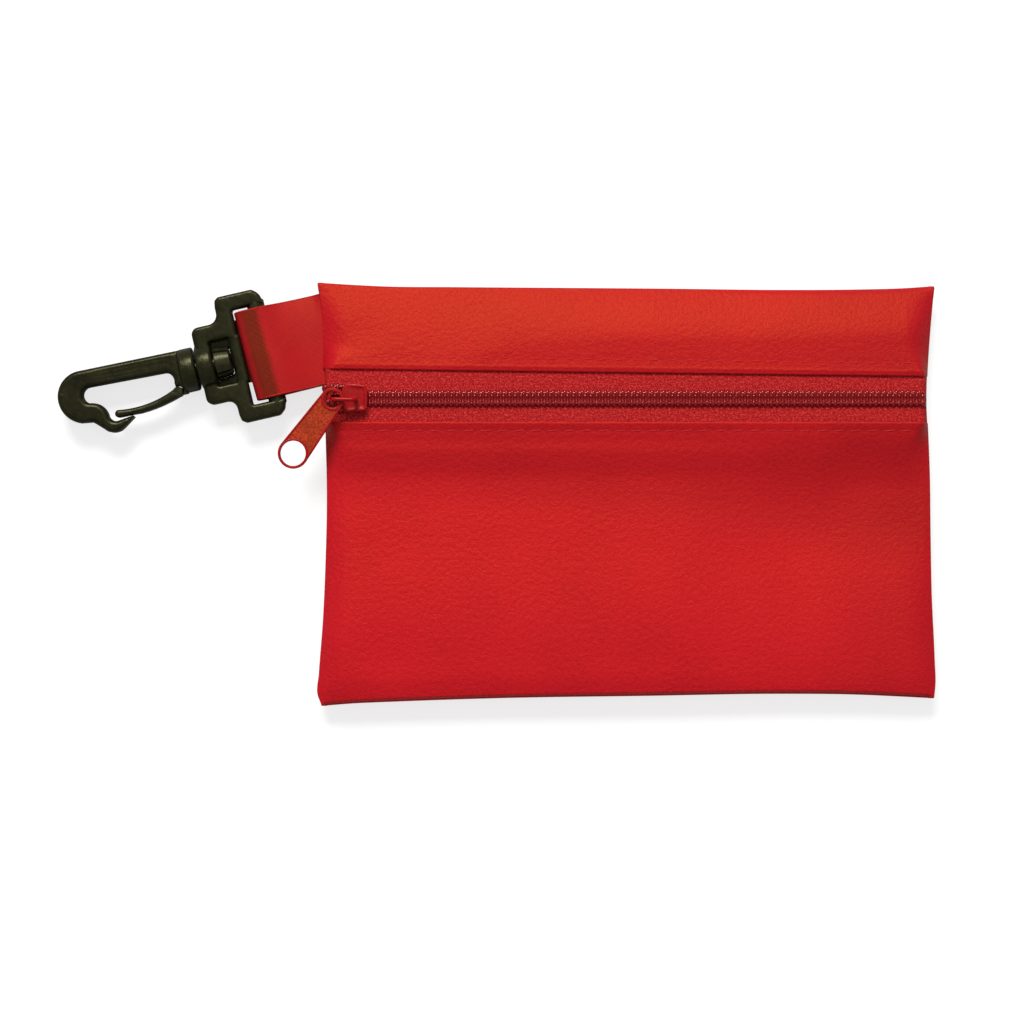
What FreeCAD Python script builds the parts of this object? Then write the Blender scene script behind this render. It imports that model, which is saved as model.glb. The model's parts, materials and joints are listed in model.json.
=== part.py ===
"""Pocket first aid kit: a soft zipped pouch with a swivel snap hook on a sewn ribbon loop.

The pouch lies on its back. X runs along the zip, Y across it, Z up out of the front.
The origin is the centre of the back face.
"""

import FreeCAD, Part
import math
import os

from FreeCAD import Placement, Rotation, Vector

# ---- pouch ----------------------------------------------------------------
pouch_length = 153.2          # corner to corner along X
pouch_width = 102.6           # corner to corner along Y
side_bow = 1.6                # how far each side seam curves in at its middle
fold_bow = 0.8                # how far the top and bottom folds curve in
cloth = 0.8                   # outer cloth and its coating
seam_height = 5.5             # height of the side seams above the back face
front_height = 10.5           # top of the front panels above the back face
end_rounding = 7.0            # rounded border beside each side seam
fold_rounding = 12.0          # rounded border beside the top and bottom folds
back_trim = 0.1               # taken off the back so that its face is a true plane
soft_gap = 0.3                # between soft pieces that only lie on each other
seam_depth = 4.0              # seam allowance turned in at each side
seam_thickness = 0.8
seam_inset = 0.9              # seam line to the allowance
seam_end = 4.0                # corner to the end of the allowance

# ---- zip ------------------------------------------------------------------
zip_inset = 28.0              # top fold to the centre line of the chain
upper_hem_gap = 7.2           # centre line to the edge of the upper panel
lower_hem_gap = 5.9           # centre line to the edge of the lower panel
hem_depth = 3.0               # cloth turned under and sewn beside the zip
tape_thickness = 0.5
tape_parting = 1.7            # gap between the two tapes, under the chain
tape_end = 0.9                # tape ends stop this far inside the side seam
tape_drop = 2.4               # length over which a tape end bends down to the seam
coil_height = 1.35
chain_width = 4.3
coil_pitch = 1.44
coil_tooth = 0.56             # one turn of the coil, along X
coil_spine = 1.1              # sewn outer edge of each coil
tooth_gap = 0.15              # between a tooth and the other coil's spine
coil_seat = 0.02
stitch_seat = 0.1             # stitches to the cloth below them
stitch_length = 3.0
stitch_pitch = 4.15
stitch_width = 0.5
stitch_height = 0.25
stitch_inset = 2.4            # stitch row to hem edge
stitch_end_margin = 9.0       # first and last stitch to the side seam

# ---- slider and pull tab --------------------------------------------------
slider_x = -67.9              # centre of the closed slider
slider_length = 6.7
slider_nose_width = 7.2
slider_tail_width = 6.2
slider_chamfer = 0.9
slider_plate = 0.7
slider_running = 0.25         # slider to coil and tape
flange_wall = 0.6
flange_length = 4.2
wedge_length = 2.2
wedge_width = 1.2
bail_radius = 0.55
bail_offset = 0.5             # the bail sits this far below the chain's centre line
bail_overhang = 1.75          # bail limb ahead of the slider's nose
bail_length = 5.6
tab_angle = 233.9             # heading of the closed pull tab in plan
tab_thickness = 0.9
tab_face = 0.5                # thickness inside the raised border
tab_border = 0.6
tab_reach = 16.4              # eye centre to finger hole centre
tab_eye_radius = 2.95
tab_eye_hole_radius = 2.0
tab_end_radius = 3.8
tab_hole_radius = 3.1
tab_rise = 2.1                # eye centre above the slider's top plate
tab_bail_gap = 0.25

# ---- ribbon loop ----------------------------------------------------------
clip_angle = 193.0            # heading of the clip in plan, from its bar to its hook
clip_x = -87.6                # outer edge of the clip's end bar, on its axis
clip_inset = 15.9             # top fold to the end bar's middle
ribbon_width = 22.0
ribbon = 0.6
ribbon_slack = 2.1            # extra length of the loop past a snug fit on the bar
ribbon_closed_at = -9.3       # where the loop's two layers come together
ribbon_tail = 16.0            # sewn end, before it is trimmed to the side seam

# ---- swivel clip, in its own axes: X from the bar to the hook ---------------
ring_radius = 5.5
clip_axis_height = ring_radius
bar_radius = 2.2
bar_x = 2.4                   # centre of the end bar
bar_clearance = 0.4           # end bar to ribbon
frame_half_width = 16.0
frame_thickness = 4.4
frame_end = 12.4              # where the strap frame meets the yoke
frame_round = 1.8
frame_shoulder = 2.0          # the frame widens over this length past the bar
slot_half_width = 12.1
slot_far = 8.5                # the slot runs from the bar to here
slot_round = 0.5
slot_boss = 0.45              # the slot's far wall is thicker behind the window
slot_boss_half_width = 6.0
yoke_half_width = 9.8
yoke_end = 19.5
yoke_round = 1.6
window_near = 10.8
window_far = 15.8
window_half_width = 5.6
ring_length = 3.95
swivel_clearance = 0.25
swivel_end_gap = 0.5
post_radius = 2.3
head_radius = 3.9
head_tip_radius = 2.6
head_length = 3.9
head_slot = 0.9
collar_length = 3.8
collar_round = 0.5
hook_thickness = 5.2
hook_end = 55.5               # far end of the hook
spine_outer = 5.6             # axis to the outer edge of the spine
spine_inner = 0.9             # axis to the window's side of the spine
spine_splay = 0.3             # the spine leans out by this much each way to its far end
crook_x = 47.3                # centre of the seat in the crook
crook_y = 0.65
crook_radius = 2.0
crook_wall = 4.4              # below the seat
nose_wall = 2.35
nose_step = 3.6               # how far the nose drops below the crook's lower wall
nose_root = 46.2              # where the drop begins
nose_low = 42.4               # lowest place of the nose
nose_tip = 37.9
nose_lip = 0.5                # thickness of the nose at its tip
nose_dip = 0.15               # the tip curls in by this much
window_end = 26.3             # collar end of the hook's window
gate_thickness = 4.4
gate_pivot_x = 25.9
gate_pivot_y = 4.7
gate_knuckle = 1.25
gate_clearance = 0.15
gate_lap = 0.3                # gate to the inner side of the hook's nose
gate_width = 1.85
gate_arch = 0.2               # the gate bows out this much further before the nose
gate_tip = 42.45

# ---- contents -------------------------------------------------------------
packing_gap = 0.1             # between the packets of a stack
packing_margin = 1.0          # packets to the rounded borders of the pouch
packing_aisle = 5.0           # between neighbouring stacks
narrow_row = 25.0             # width of the bandages and ointment sachets
bandage_length = 76.0
bandage_thickness = 0.6
bandage_count = 5
ointment_length = 46.0
ointment_thickness = 1.5
ointment_count = 2
wipe_length = 50.0
wipe_thickness = 0.8
wipe_count = 4
gauze_length = 56.0
gauze_thickness = 1.6
gauze_count = 2
packet_corner = 2.0

# ---- values that follow from the sizes above ---------------------------------
half_length = pouch_length / 2
half_width = pouch_width / 2
zip_y = half_width - zip_inset
upper_hem_y = zip_y + upper_hem_gap
lower_hem_y = zip_y - lower_hem_gap
clip_y = half_width - clip_inset
front_under = front_height - cloth
tape_top = front_under - soft_gap
tape_bottom = tape_top - tape_thickness
coil_bottom = tape_top + coil_seat
coil_top = coil_bottom + coil_height
plate_bottom = coil_top + slider_running
plate_top = plate_bottom + slider_plate
tab_height = plate_top + tab_rise
bail_height = tab_height + tab_thickness / 2 + tab_bail_gap + bail_radius
bail_x = slider_x - slider_length / 2 - bail_overhang
bail_y = zip_y - bail_offset
ring_far = window_far + ring_length
collar_near = ring_far + swivel_end_gap
collar_far = collar_near + collar_length
packing_reach = half_width - fold_bow - fold_rounding - packing_margin
wide_row = 2 * packing_reach - packing_aisle - narrow_row


def export(name, shape):
    """Write one sub-part."""
    shape.exportStep("parts/" + name + ".step")


# ---- outlines -------------------------------------------------------------

def outline(start, pieces):
    """Closed face from a start point and pieces: a point, or (middle, end) of an arc."""
    edges = []
    here = Vector(start[0], start[1], 0)
    for piece in pieces:
        if isinstance(piece[0], tuple):
            middle = Vector(piece[0][0], piece[0][1], 0)
            end = Vector(piece[1][0], piece[1][1], 0)
            edges.append(Part.Arc(here, middle, end).toShape())
        else:
            end = Vector(piece[0], piece[1], 0)
            edges.append(Part.makeLine(here, end))
        here = end
    return Part.Face(Part.Wire(edges))


def plate(face, bottom, top):
    """Face in the XY plane, raised from bottom to top."""
    solid = face.extrude(Vector(0, 0, top - bottom))
    solid.translate(Vector(0, 0, bottom))
    return solid


def box(x_range, y_range, z_range):
    size = [r[1] - r[0] for r in (x_range, y_range, z_range)]
    return Part.makeBox(size[0], size[1], size[2], Vector(x_range[0], y_range[0], z_range[0]))


def round_upright_edges(solid, radius, chosen=lambda point: True):
    """Fillet the edges that run along Z."""
    edges = []
    for edge in solid.Edges:
        ends = [vertex.Point for vertex in edge.Vertexes]
        if len(ends) == 2 and (ends[0] - ends[1]).cross(Vector(0, 0, 1)).Length < 1e-6:
            if chosen(ends[0]):
                edges.append(edge)
    return solid.makeFillet(radius, edges)


# ---- cloth panels -----------------------------------------------------------

def rounding(distance, reach):
    """0 on the edge of the pouch, 1 from reach inwards."""
    inward = min(max(distance / reach, 0.0), 1.0)
    return 1 - (1 - inward) ** 2.5


def pillow(u, v):
    """How full the pouch is at u, v, which run from -1 to 1 between its edges."""
    ends = rounding((1 - abs(u)) * half_length, end_rounding)
    folds = rounding((1 - abs(v)) * half_width, fold_rounding)
    return ends * folds


def plan(u, v):
    """Place in the plan of the pouch, whose sides and folds curve in."""
    x = u * (half_length - side_bow * (1 - v * v))
    y = v * (half_width - fold_bow * (1 - u * u))
    return x, y


def front_top(u, v):
    edge = seam_height + cloth
    return edge + (front_height - edge) * pillow(u, v)


def back_bottom(u, v):
    edge = seam_height - cloth
    return edge - (edge + back_trim) * pillow(u, v)


def stations(low, high, half_size, reach):
    """Values from low to high, closer together in the rounded borders."""
    border = reach / half_size
    steps = [border * (n / 5) ** 1.5 for n in range(6)]
    middle = [(1 - border) * n / 4 for n in range(-3, 4)]
    values = [-1 + s for s in steps] + middle + [1 - s for s in reversed(steps)]
    kept = [value for value in values if low + 0.004 < value < high - 0.004]
    return [low] + kept + [high]


def sheet(u_range, v_range, bottom, top):
    """Solid between two height functions over part of the pouch's plan."""
    us = stations(u_range[0], u_range[1], half_length, end_rounding)
    vs = stations(v_range[0], v_range[1], half_width, fold_rounding)
    faces = []
    for height in (bottom, top):
        grid = [[Vector(*plan(u, v), height(u, v)) for v in vs] for u in us]
        surface = Part.BSplineSurface()
        surface.interpolate(grid)
        faces.append(surface.toShape())
    sides = []
    for low_edge in faces[0].Edges:
        middle = low_edge.CenterOfMass
        high_edge = min(faces[1].Edges, key=lambda edge: flat_distance(edge.CenterOfMass, middle))
        sides.append(Part.makeRuledSurface(low_edge, high_edge))
    shell = Part.Shell(faces + sides)
    shell.sewShape()
    solid = Part.Solid(shell)
    if solid.Volume < 0:
        solid.reverse()
    return solid


def flat_distance(a, b):
    return math.hypot(a.x - b.x, a.y - b.y)


def v_at(y):
    """The v value of a line across the middle of the pouch."""
    return y / (half_width - fold_bow)


def back_panel():
    panel = sheet((-1, 1), (-1, 1), back_bottom, lambda u, v: back_bottom(u, v) + cloth)
    below = box((-half_length, half_length), (-half_width, half_width), (-1, 0))
    return panel.cut(below)


def front_panel(u_range, v_range):
    return sheet(u_range, v_range, lambda u, v: front_top(u, v) - cloth, front_top)


def front_lower_panel():
    return front_panel((-1, 1), (-1, v_at(lower_hem_y)))


def front_upper_panel():
    """The upper panel is the mouth flap, so it stops just short of the back panel."""
    edge = 1 - soft_gap / half_length
    fold = 1 - soft_gap / half_width
    return front_panel((-edge, edge), (v_at(upper_hem_y), fold))


def seam_allowance(side):
    """Cloth edges turned in and overlocked inside one side seam."""
    inner = 1 - (seam_inset + seam_depth) / half_length
    outer = 1 - seam_inset / half_length
    across = (inner, outer) if side > 0 else (-outer, -inner)
    along = 1 - seam_end / half_width
    low = seam_height - seam_thickness / 2
    return sheet(across, (-along, along), lambda u, v: low, lambda u, v: low + seam_thickness)


# ---- zip --------------------------------------------------------------------

def zip_tape(side):
    """One woven tape: flat under the hem, bent down to the side seams at its ends."""
    hem_y = upper_hem_y if side > 0 else lower_hem_y
    inner_y = zip_y + side * tape_parting / 2
    reach = half_length - side_bow - tape_end
    bend = reach - tape_drop
    drop = tape_bottom - (seam_height + cloth)
    profile = [(-reach, -drop), (-bend, 0), (bend, 0), (reach, -drop)]
    points = [Vector(x, inner_y, tape_bottom + z) for x, z in profile]
    points += [p + Vector(0, 0, tape_thickness) for p in reversed(points)]
    face = Part.Face(Part.makePolygon(points + points[:1]))
    outer_y = hem_y - side * soft_gap
    strip = face.extrude(Vector(0, outer_y - inner_y, 0))
    flange_reach = half_length - side_bow - end_rounding - hem_depth
    y_range = sorted((outer_y, hem_y + side * hem_depth))
    flange = box((-flange_reach, flange_reach), y_range, (tape_bottom, tape_top))
    return strip.fuse(flange).removeSplitter()


def coil(side):
    """One coil as a comb: a sewn spine whose turns reach between the other coil's."""
    reach = half_length - side_bow - tape_end - tape_drop
    spine_outer = chain_width / 2
    spine_inner = spine_outer - coil_spine
    tip = -(spine_inner - tooth_gap)
    shift = 0 if side > 0 else coil_pitch / 2
    count = int((2 * reach - coil_pitch) / coil_pitch)
    points = [(-reach, spine_outer), (-reach, spine_inner)]
    for n in range(count):
        start = -reach + coil_tooth / 2 + shift + n * coil_pitch
        points += [(start, spine_inner), (start, tip)]
        points += [(start + coil_tooth, tip), (start + coil_tooth, spine_inner)]
    points += [(reach, spine_inner), (reach, spine_outer)]
    wire = [Vector(x, zip_y + side * y, 0) for x, y in points]
    comb = Part.Face(Part.makePolygon(wire + wire[:1]))
    comb = plate(comb, coil_bottom, coil_top)
    wedge_room = box(
        (-reach - 1, slider_x - slider_length / 2 + wedge_length + slider_running),
        (zip_y - wedge_width, zip_y + wedge_width),
        (coil_bottom - 1, coil_top + 1),
    )
    return comb.cut(wedge_room)


def stitch_row(y, side):
    """Row of long stitches that holds the hem to the tape."""
    row_y = y + side * stitch_inset
    reach = half_length - side_bow - stitch_end_margin
    count = int(2 * reach / stitch_pitch)
    first = -(count - 1) * stitch_pitch / 2
    bottom = front_height + stitch_seat
    stitches = []
    for n in range(count):
        x = first + n * stitch_pitch
        stitch = Part.makeBox(stitch_length, stitch_width, stitch_height)
        stitch.translate(Vector(x - stitch_length / 2, row_y - stitch_width / 2, bottom))
        upper = [edge for edge in stitch.Edges if edge.CenterOfMass.z > bottom + 0.9 * stitch_height]
        ends = [edge for edge in upper if abs(edge.Length - stitch_width) < 1e-6]
        stitches.append(stitch.makeFillet(stitch_height * 0.8, ends))
    return Part.makeCompound(stitches)


# ---- slider and pull tab ------------------------------------------------------

def slider_plate_shape(bottom):
    """Plate that is wide at the nose and square at the tail."""
    nose = -slider_length / 2
    tail = slider_length / 2
    wide = slider_nose_width / 2
    narrow = slider_tail_width / 2
    face = outline((tail, -narrow + slider_chamfer), [
        (tail, narrow - slider_chamfer),
        (tail - slider_chamfer, narrow),
        (nose + 1.5, wide),
        ((nose, 0), (nose + 1.5, -wide)),
        (tail - slider_chamfer, -narrow),
        (tail, -narrow + slider_chamfer),
    ])
    return plate(face, bottom, bottom + slider_plate)


def slider_body():
    """Two plates joined by the wedge, with flanges and the bail that holds the tab."""
    lower_plate_top = tape_bottom - slider_running
    lower = slider_plate_shape(lower_plate_top - slider_plate)
    upper = slider_plate_shape(plate_bottom)
    nose = -slider_length / 2
    tail = slider_length / 2
    wedge = outline((nose + 0.3, -wedge_width / 2), [
        (nose + wedge_length, 0),
        (nose + 0.3, wedge_width / 2),
        (nose + 0.3, -wedge_width / 2),
    ])
    body = lower.fuse([upper, plate(wedge, lower_plate_top, plate_bottom)])
    channel = chain_width / 2 + slider_running
    for side in (-1, 1):
        y_range = sorted((side * channel, side * (channel + flange_wall)))
        x_range = (tail - flange_length, tail - slider_chamfer)
        z_range = (tape_top + slider_running, plate_bottom)
        body = body.fuse(box(x_range, y_range, z_range))
    body.translate(Vector(slider_x, zip_y, 0))
    return body.fuse(bail()).removeSplitter()


def bail():
    """Round bar over the top plate: down in front of the nose, back to both ends."""
    top = bail_height
    foot = plate_top - bail_radius
    rear_x = bail_x + bail_length
    turn = bail_radius * 1.6
    nose_x = slider_x - slider_length / 2
    section_at = Vector(nose_x + 0.6, bail_y, foot)
    corners = [
        section_at,
        Vector(bail_x, bail_y, foot),
        Vector(bail_x, bail_y, top),
        Vector(rear_x, bail_y, top),
        Vector(rear_x, bail_y, foot),
    ]
    edges = []
    here = corners[0]
    for before, corner, after in zip(corners, corners[1:], corners[2:]):
        incoming = (before - corner).normalize()
        outgoing = (after - corner).normalize()
        start = corner + incoming * turn
        end = corner + outgoing * turn
        middle = corner + (incoming + outgoing) * turn * (1 - math.sqrt(0.5))
        edges.append(Part.makeLine(here, start))
        edges.append(Part.Arc(start, middle, end).toShape())
        here = end
    edges.append(Part.makeLine(here, corners[-1]))
    path = Part.Wire(edges)
    circle = Part.makeCircle(bail_radius, section_at, Vector(1, 0, 0))
    return path.makePipeShell([Part.Wire([circle])], True, False)


def two_circle_face(radius, end_radius, reach):
    """Round at both ends, with straight sides that touch both rounds."""
    lean = (end_radius - radius) / reach
    cosine = math.sqrt(1 - lean * lean)
    near = (-radius * lean, radius * cosine)
    far = (reach - end_radius * lean, end_radius * cosine)
    return outline((near[0], -near[1]), [
        (far[0], -far[1]),
        ((reach + end_radius, 0), far),
        near,
        ((-radius, 0), (near[0], -near[1])),
    ])


def pull_tab():
    """Flat tab with a small eye on the bail and a round finger hole at its end."""
    half = tab_thickness / 2
    body = plate(two_circle_face(tab_eye_radius, tab_end_radius, tab_reach), -half, half)
    inset = two_circle_face(tab_eye_radius - tab_border, tab_end_radius - tab_border, tab_reach)
    eye = Part.makeCylinder(tab_eye_radius, tab_thickness, Vector(0, 0, -half))
    rim_radius = tab_hole_radius + tab_border
    rim = Part.makeCylinder(rim_radius, tab_thickness, Vector(tab_reach, 0, -half))
    for bottom, top in ((tab_face / 2, half + 1), (-half - 1, -tab_face / 2)):
        recess = plate(inset, bottom, top).cut(eye).cut(rim)
        body = body.cut(recess)
    eye_hole = Part.makeCylinder(tab_eye_hole_radius, 2, Vector(0, 0, -1))
    finger_hole = Part.makeCylinder(tab_hole_radius, 2, Vector(tab_reach, 0, -1))
    body = body.cut(eye_hole).cut(finger_hole)
    body.Placement = Placement(Vector(bail_x, bail_y, tab_height), Rotation(Vector(0, 0, 1), tab_angle))
    return body


# ---- ribbon loop and swivel clip ----------------------------------------------

def place_clip(shape):
    """From the clip's own axes to the pouch's."""
    seat = Placement(Vector(clip_x, clip_y, clip_axis_height), Rotation(Vector(0, 0, 1), clip_angle))
    shape.Placement = seat.multiply(shape.Placement)
    return shape


def loop_face(half_height, closed_half_height, tail):
    """Side view of the ribbon loop: round over the bar, closed towards the seam."""
    far_x = bar_x + ribbon_slack
    return outline((tail, -closed_half_height), [
        (ribbon_closed_at, -closed_half_height),
        (bar_x, -half_height),
        (far_x, -half_height),
        ((far_x + half_height, 0), (far_x, half_height)),
        (bar_x, half_height),
        (ribbon_closed_at, closed_half_height),
        (tail, closed_half_height),
        (tail, -closed_half_height),
    ])


def strap_loop():
    inside = bar_radius + bar_clearance
    layers_gap = 0.02
    outer = loop_face(inside + ribbon, ribbon + layers_gap, -ribbon_tail)
    inner = loop_face(inside, layers_gap, -ribbon_tail - 1)
    loop = outer.extrude(Vector(0, 0, ribbon_width)).cut(inner.extrude(Vector(0, 0, ribbon_width)))
    loop.translate(Vector(0, 0, -ribbon_width / 2))
    loop.Placement = Placement(Vector(), Rotation(Vector(1, 0, 0), -90)).multiply(loop.Placement)
    loop = place_clip(loop)
    seam_points = []
    for y in (clip_y - ribbon_width, clip_y + ribbon_width):
        x = -(half_length - side_bow * (1 - (y / half_width) ** 2)) - soft_gap
        seam_points.append(Vector(x, y, 0))
    inward = Vector(ribbon_tail * 2, 0, 0)
    corners = [seam_points[0], seam_points[1], seam_points[1] + inward, seam_points[0] + inward]
    pouch_side = Part.Face(Part.makePolygon(corners + corners[:1]))
    return loop.cut(pouch_side.extrude(Vector(0, 0, 3 * clip_axis_height)))


def swivel_base():
    """Strap frame with its slot, the yoke round a window, and the ring."""
    half = frame_thickness / 2
    bar_near = bar_x - bar_radius
    corner_y = slot_half_width + 0.6
    frame = outline((bar_near, -corner_y), [
        (bar_near, corner_y),
        (bar_near + frame_shoulder, frame_half_width),
        (frame_end, frame_half_width),
        (frame_end, -frame_half_width),
        (bar_near + frame_shoulder, -frame_half_width),
        (bar_near, -corner_y),
    ])
    frame = round_upright_edges(plate(frame, -half, half), frame_round)
    slot = box((bar_near - 1, slot_far), (-slot_half_width, slot_half_width), (-half - 1, half + 1))
    frame = frame.cut(round_upright_edges(slot, slot_round))
    boss_y = (-slot_boss_half_width, slot_boss_half_width)
    boss = box((slot_far - slot_boss, slot_far + 1), boss_y, (-half, half))
    boss = round_upright_edges(boss, slot_boss * 0.8, lambda point: point.x < slot_far)
    bar_start = Vector(bar_x, -slot_half_width - 1, 0)
    bar = Part.makeCylinder(bar_radius, 2 * slot_half_width + 2, bar_start, Vector(0, 1, 0))
    yoke = box((frame_end - 2, yoke_end), (-yoke_half_width, yoke_half_width), (-half, half))
    yoke = round_upright_edges(yoke, yoke_round, lambda point: point.x > frame_end)
    ring = cylinder_along_x(ring_radius, window_far, ring_far)
    window = box((window_near, window_far), (-window_half_width, window_half_width), (-half - 1, half + 1))
    window = round_upright_edges(window, slot_round)
    bore = cylinder_along_x(post_radius + swivel_clearance, window_far - 1, ring_far + 1)
    base = frame.fuse([bar, yoke, boss]).cut(window).fuse(ring).cut(bore)
    return place_clip(base.removeSplitter())


def cylinder_along_x(radius, start, end):
    return Part.makeCylinder(radius, end - start, Vector(start, 0, 0), Vector(1, 0, 0))


def hook_outline():
    """Outline of the hook: spine, crook, nose, and the window that the gate closes."""
    start = collar_far - collar_round
    crook_low = crook_y + crook_radius
    crook_outer = crook_low + crook_wall
    nose_inner = crook_outer + nose_step - nose_wall
    nose_outer = nose_inner + nose_wall
    end_reach = hook_end - crook_x
    return outline((start, -spine_outer + spine_splay), [
        (crook_x + crook_radius, -spine_outer - spine_splay),
        ((hook_end - 0.17 * end_reach, -0.62 * spine_outer), (hook_end, 0)),
        ((hook_end - 0.1 * end_reach, 0.55 * crook_outer), (crook_x + 0.5 * end_reach, crook_outer - 0.2)),
        (nose_root + crook_radius, crook_outer + 0.3),
        ((nose_root + 0.4, crook_outer + 0.5 * nose_step), (nose_root - 1.0, nose_outer - 0.35)),
        ((nose_low + 0.9, nose_outer + 0.4), (nose_low - 1.2, nose_outer - 0.1)),
        (nose_tip, nose_inner - nose_dip + nose_lip / 2),
        (nose_tip + 0.3, nose_inner - nose_dip - nose_lip / 2),
        (nose_low - 0.8, nose_inner),
        ((nose_low + 0.9, nose_inner - 0.3), (nose_low + 1.7, nose_inner - 1.4)),
        ((nose_root - 1.5, crook_low + 1.95), (nose_root, crook_low + 0.4)),
        (crook_x, crook_low),
        ((crook_x + crook_radius, crook_y), (crook_x, crook_y - crook_radius)),
        (window_end + 2.3, -spine_inner + spine_splay),
        ((window_end + 0.3, 0.5 * crook_y), (window_end, gate_pivot_y / 2)),
        (gate_pivot_x + 0.2, gate_pivot_y + gate_knuckle - 0.3),
        (start, gate_pivot_y + gate_knuckle - 0.3),
        (start, -spine_outer + spine_splay),
    ])


def gate_outline():
    """Curved tongue from the knuckle to its tip inside the hook's nose."""
    nose_inner = crook_y + crook_radius + crook_wall + nose_step - nose_wall
    outer_y = nose_inner - nose_dip - nose_lip / 2 - gate_lap
    inner_y = outer_y - gate_width
    round_x = gate_tip - gate_width / 2
    middle_x = (gate_pivot_x + gate_tip) / 2
    heel = gate_knuckle * 0.7
    return outline((gate_pivot_x - heel * 0.57, gate_pivot_y + heel * 1.3), [
        ((middle_x - 2.9, outer_y - 0.25), (nose_tip - 1.7, outer_y + gate_arch)),
        (nose_tip - 0.3, outer_y),
        (round_x, outer_y),
        ((gate_tip, outer_y - gate_width / 2), (round_x, inner_y)),
        ((middle_x + 0.4, inner_y + 0.2), (gate_pivot_x + heel, gate_pivot_y - heel)),
        (gate_pivot_x - heel * 0.57, gate_pivot_y + heel * 1.3),
    ])


def snap_hook():
    """Hook, collar, post and four-petalled barbed head, moulded as one piece."""
    half = hook_thickness / 2
    body = plate(hook_outline(), -half, half)
    room = Part.makeCylinder(gate_knuckle + gate_clearance, 2 * half + 2,
                             Vector(gate_pivot_x, gate_pivot_y, -half - 1))
    body = body.cut(room)
    collar = cylinder_along_x(ring_radius, collar_near, collar_far)
    collar = collar.makeFillet(collar_round, collar.Edges[:1] + collar.Edges[2:3])
    collar = collar.cut(room)
    post = cylinder_along_x(post_radius, window_far - 1, collar_near + 1)
    head_near = window_far - swivel_end_gap - head_length
    foot = Vector(head_near, 0, 0)
    head = Part.makeCone(head_tip_radius, head_radius, head_length, foot, Vector(1, 0, 0))
    for angle in (45, 135):
        slot = box((head_near - 1, head_near + head_length - 0.8), (-head_slot / 2, head_slot / 2), (-6, 6))
        slot.rotate(Vector(), Vector(1, 0, 0), angle)
        head = head.cut(slot)
    return place_clip(body.fuse([collar, post, head]).removeSplitter())


def hook_gate():
    half = gate_thickness / 2
    knuckle = Part.makeCylinder(gate_knuckle, gate_thickness, Vector(gate_pivot_x, gate_pivot_y, -half))
    return place_clip(plate(gate_outline(), -half, half).fuse(knuckle).removeSplitter())


# ---- contents -----------------------------------------------------------------

def packet(size, corner, level):
    """Flat sealed packet with rounded corners, from its lower left corner."""
    shape = Part.makeBox(*size)
    shape.translate(Vector(corner[0], corner[1], level))
    return round_upright_edges(shape, packet_corner)


def packet_row(low_y, stacks):
    """Stacks side by side from the left end, each (name, size, count)."""
    left = -(half_length - side_bow - end_rounding - packing_margin)
    for name, size, count in stacks:
        level = cloth + packing_gap
        for n in range(count):
            export(name + "_" + str(n + 1), packet(size, (left, low_y), level))
            level += size[2] + packing_gap
        left += size[0] + packing_aisle


os.makedirs("parts", exist_ok=True)

export("back_panel", back_panel())
export("front_lower_panel", front_lower_panel())
export("front_upper_panel", front_upper_panel())
export("left_seam_allowance", seam_allowance(-1))
export("right_seam_allowance", seam_allowance(1))
export("upper_zip_tape", zip_tape(1))
export("lower_zip_tape", zip_tape(-1))
export("upper_coil", coil(1))
export("lower_coil", coil(-1))
export("upper_hem_stitching", stitch_row(upper_hem_y, 1))
export("lower_hem_stitching", stitch_row(lower_hem_y, -1))
export("zip_slider", slider_body())
export("pull_tab", pull_tab())
export("strap_loop", strap_loop())
export("swivel_base", swivel_base())
export("snap_hook", snap_hook())
export("hook_gate", hook_gate())

packet_row(-packing_reach, [
    ("bandage", (bandage_length, narrow_row, bandage_thickness), bandage_count),
    ("ointment_sachet", (ointment_length, narrow_row, ointment_thickness), ointment_count),
])
packet_row(-packing_reach + narrow_row + packing_aisle, [
    ("antiseptic_wipe", (wipe_length, wide_row, wipe_thickness), wipe_count),
    ("gauze_pad", (gauze_length, wide_row, gauze_thickness), gauze_count),
])
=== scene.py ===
import json
import math

import bpy
import numpy as np
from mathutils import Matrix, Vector
from mathutils.geometry import delaunay_2d_cdt


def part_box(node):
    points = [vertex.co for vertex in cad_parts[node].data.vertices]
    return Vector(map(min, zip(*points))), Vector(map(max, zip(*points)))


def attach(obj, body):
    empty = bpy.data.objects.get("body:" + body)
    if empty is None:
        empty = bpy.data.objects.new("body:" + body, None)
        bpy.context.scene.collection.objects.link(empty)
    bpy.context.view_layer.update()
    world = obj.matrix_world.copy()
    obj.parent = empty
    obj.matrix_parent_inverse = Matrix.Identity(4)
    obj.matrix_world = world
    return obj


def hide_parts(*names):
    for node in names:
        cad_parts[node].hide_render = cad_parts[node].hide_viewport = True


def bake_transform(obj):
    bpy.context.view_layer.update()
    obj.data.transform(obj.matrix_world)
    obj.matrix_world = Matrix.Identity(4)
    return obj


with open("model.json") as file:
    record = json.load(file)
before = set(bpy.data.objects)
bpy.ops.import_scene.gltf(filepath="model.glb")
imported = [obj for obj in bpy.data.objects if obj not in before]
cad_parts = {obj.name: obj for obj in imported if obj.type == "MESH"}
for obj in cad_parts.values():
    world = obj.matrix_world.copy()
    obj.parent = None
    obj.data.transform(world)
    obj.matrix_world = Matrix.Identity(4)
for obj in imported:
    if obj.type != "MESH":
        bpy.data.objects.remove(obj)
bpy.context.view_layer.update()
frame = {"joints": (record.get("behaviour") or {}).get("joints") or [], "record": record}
MM = 0.001                  # lengths are in millimetres, except where a comment says metres
SIDE = {-1: "left", 1: "right"}
ROW = {-1: "lower", 1: "upper"}


def low_of(node):
    return np.array(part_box(node)[0]) / MM


def high_of(node):
    return np.array(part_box(node)[1]) / MM


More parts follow.
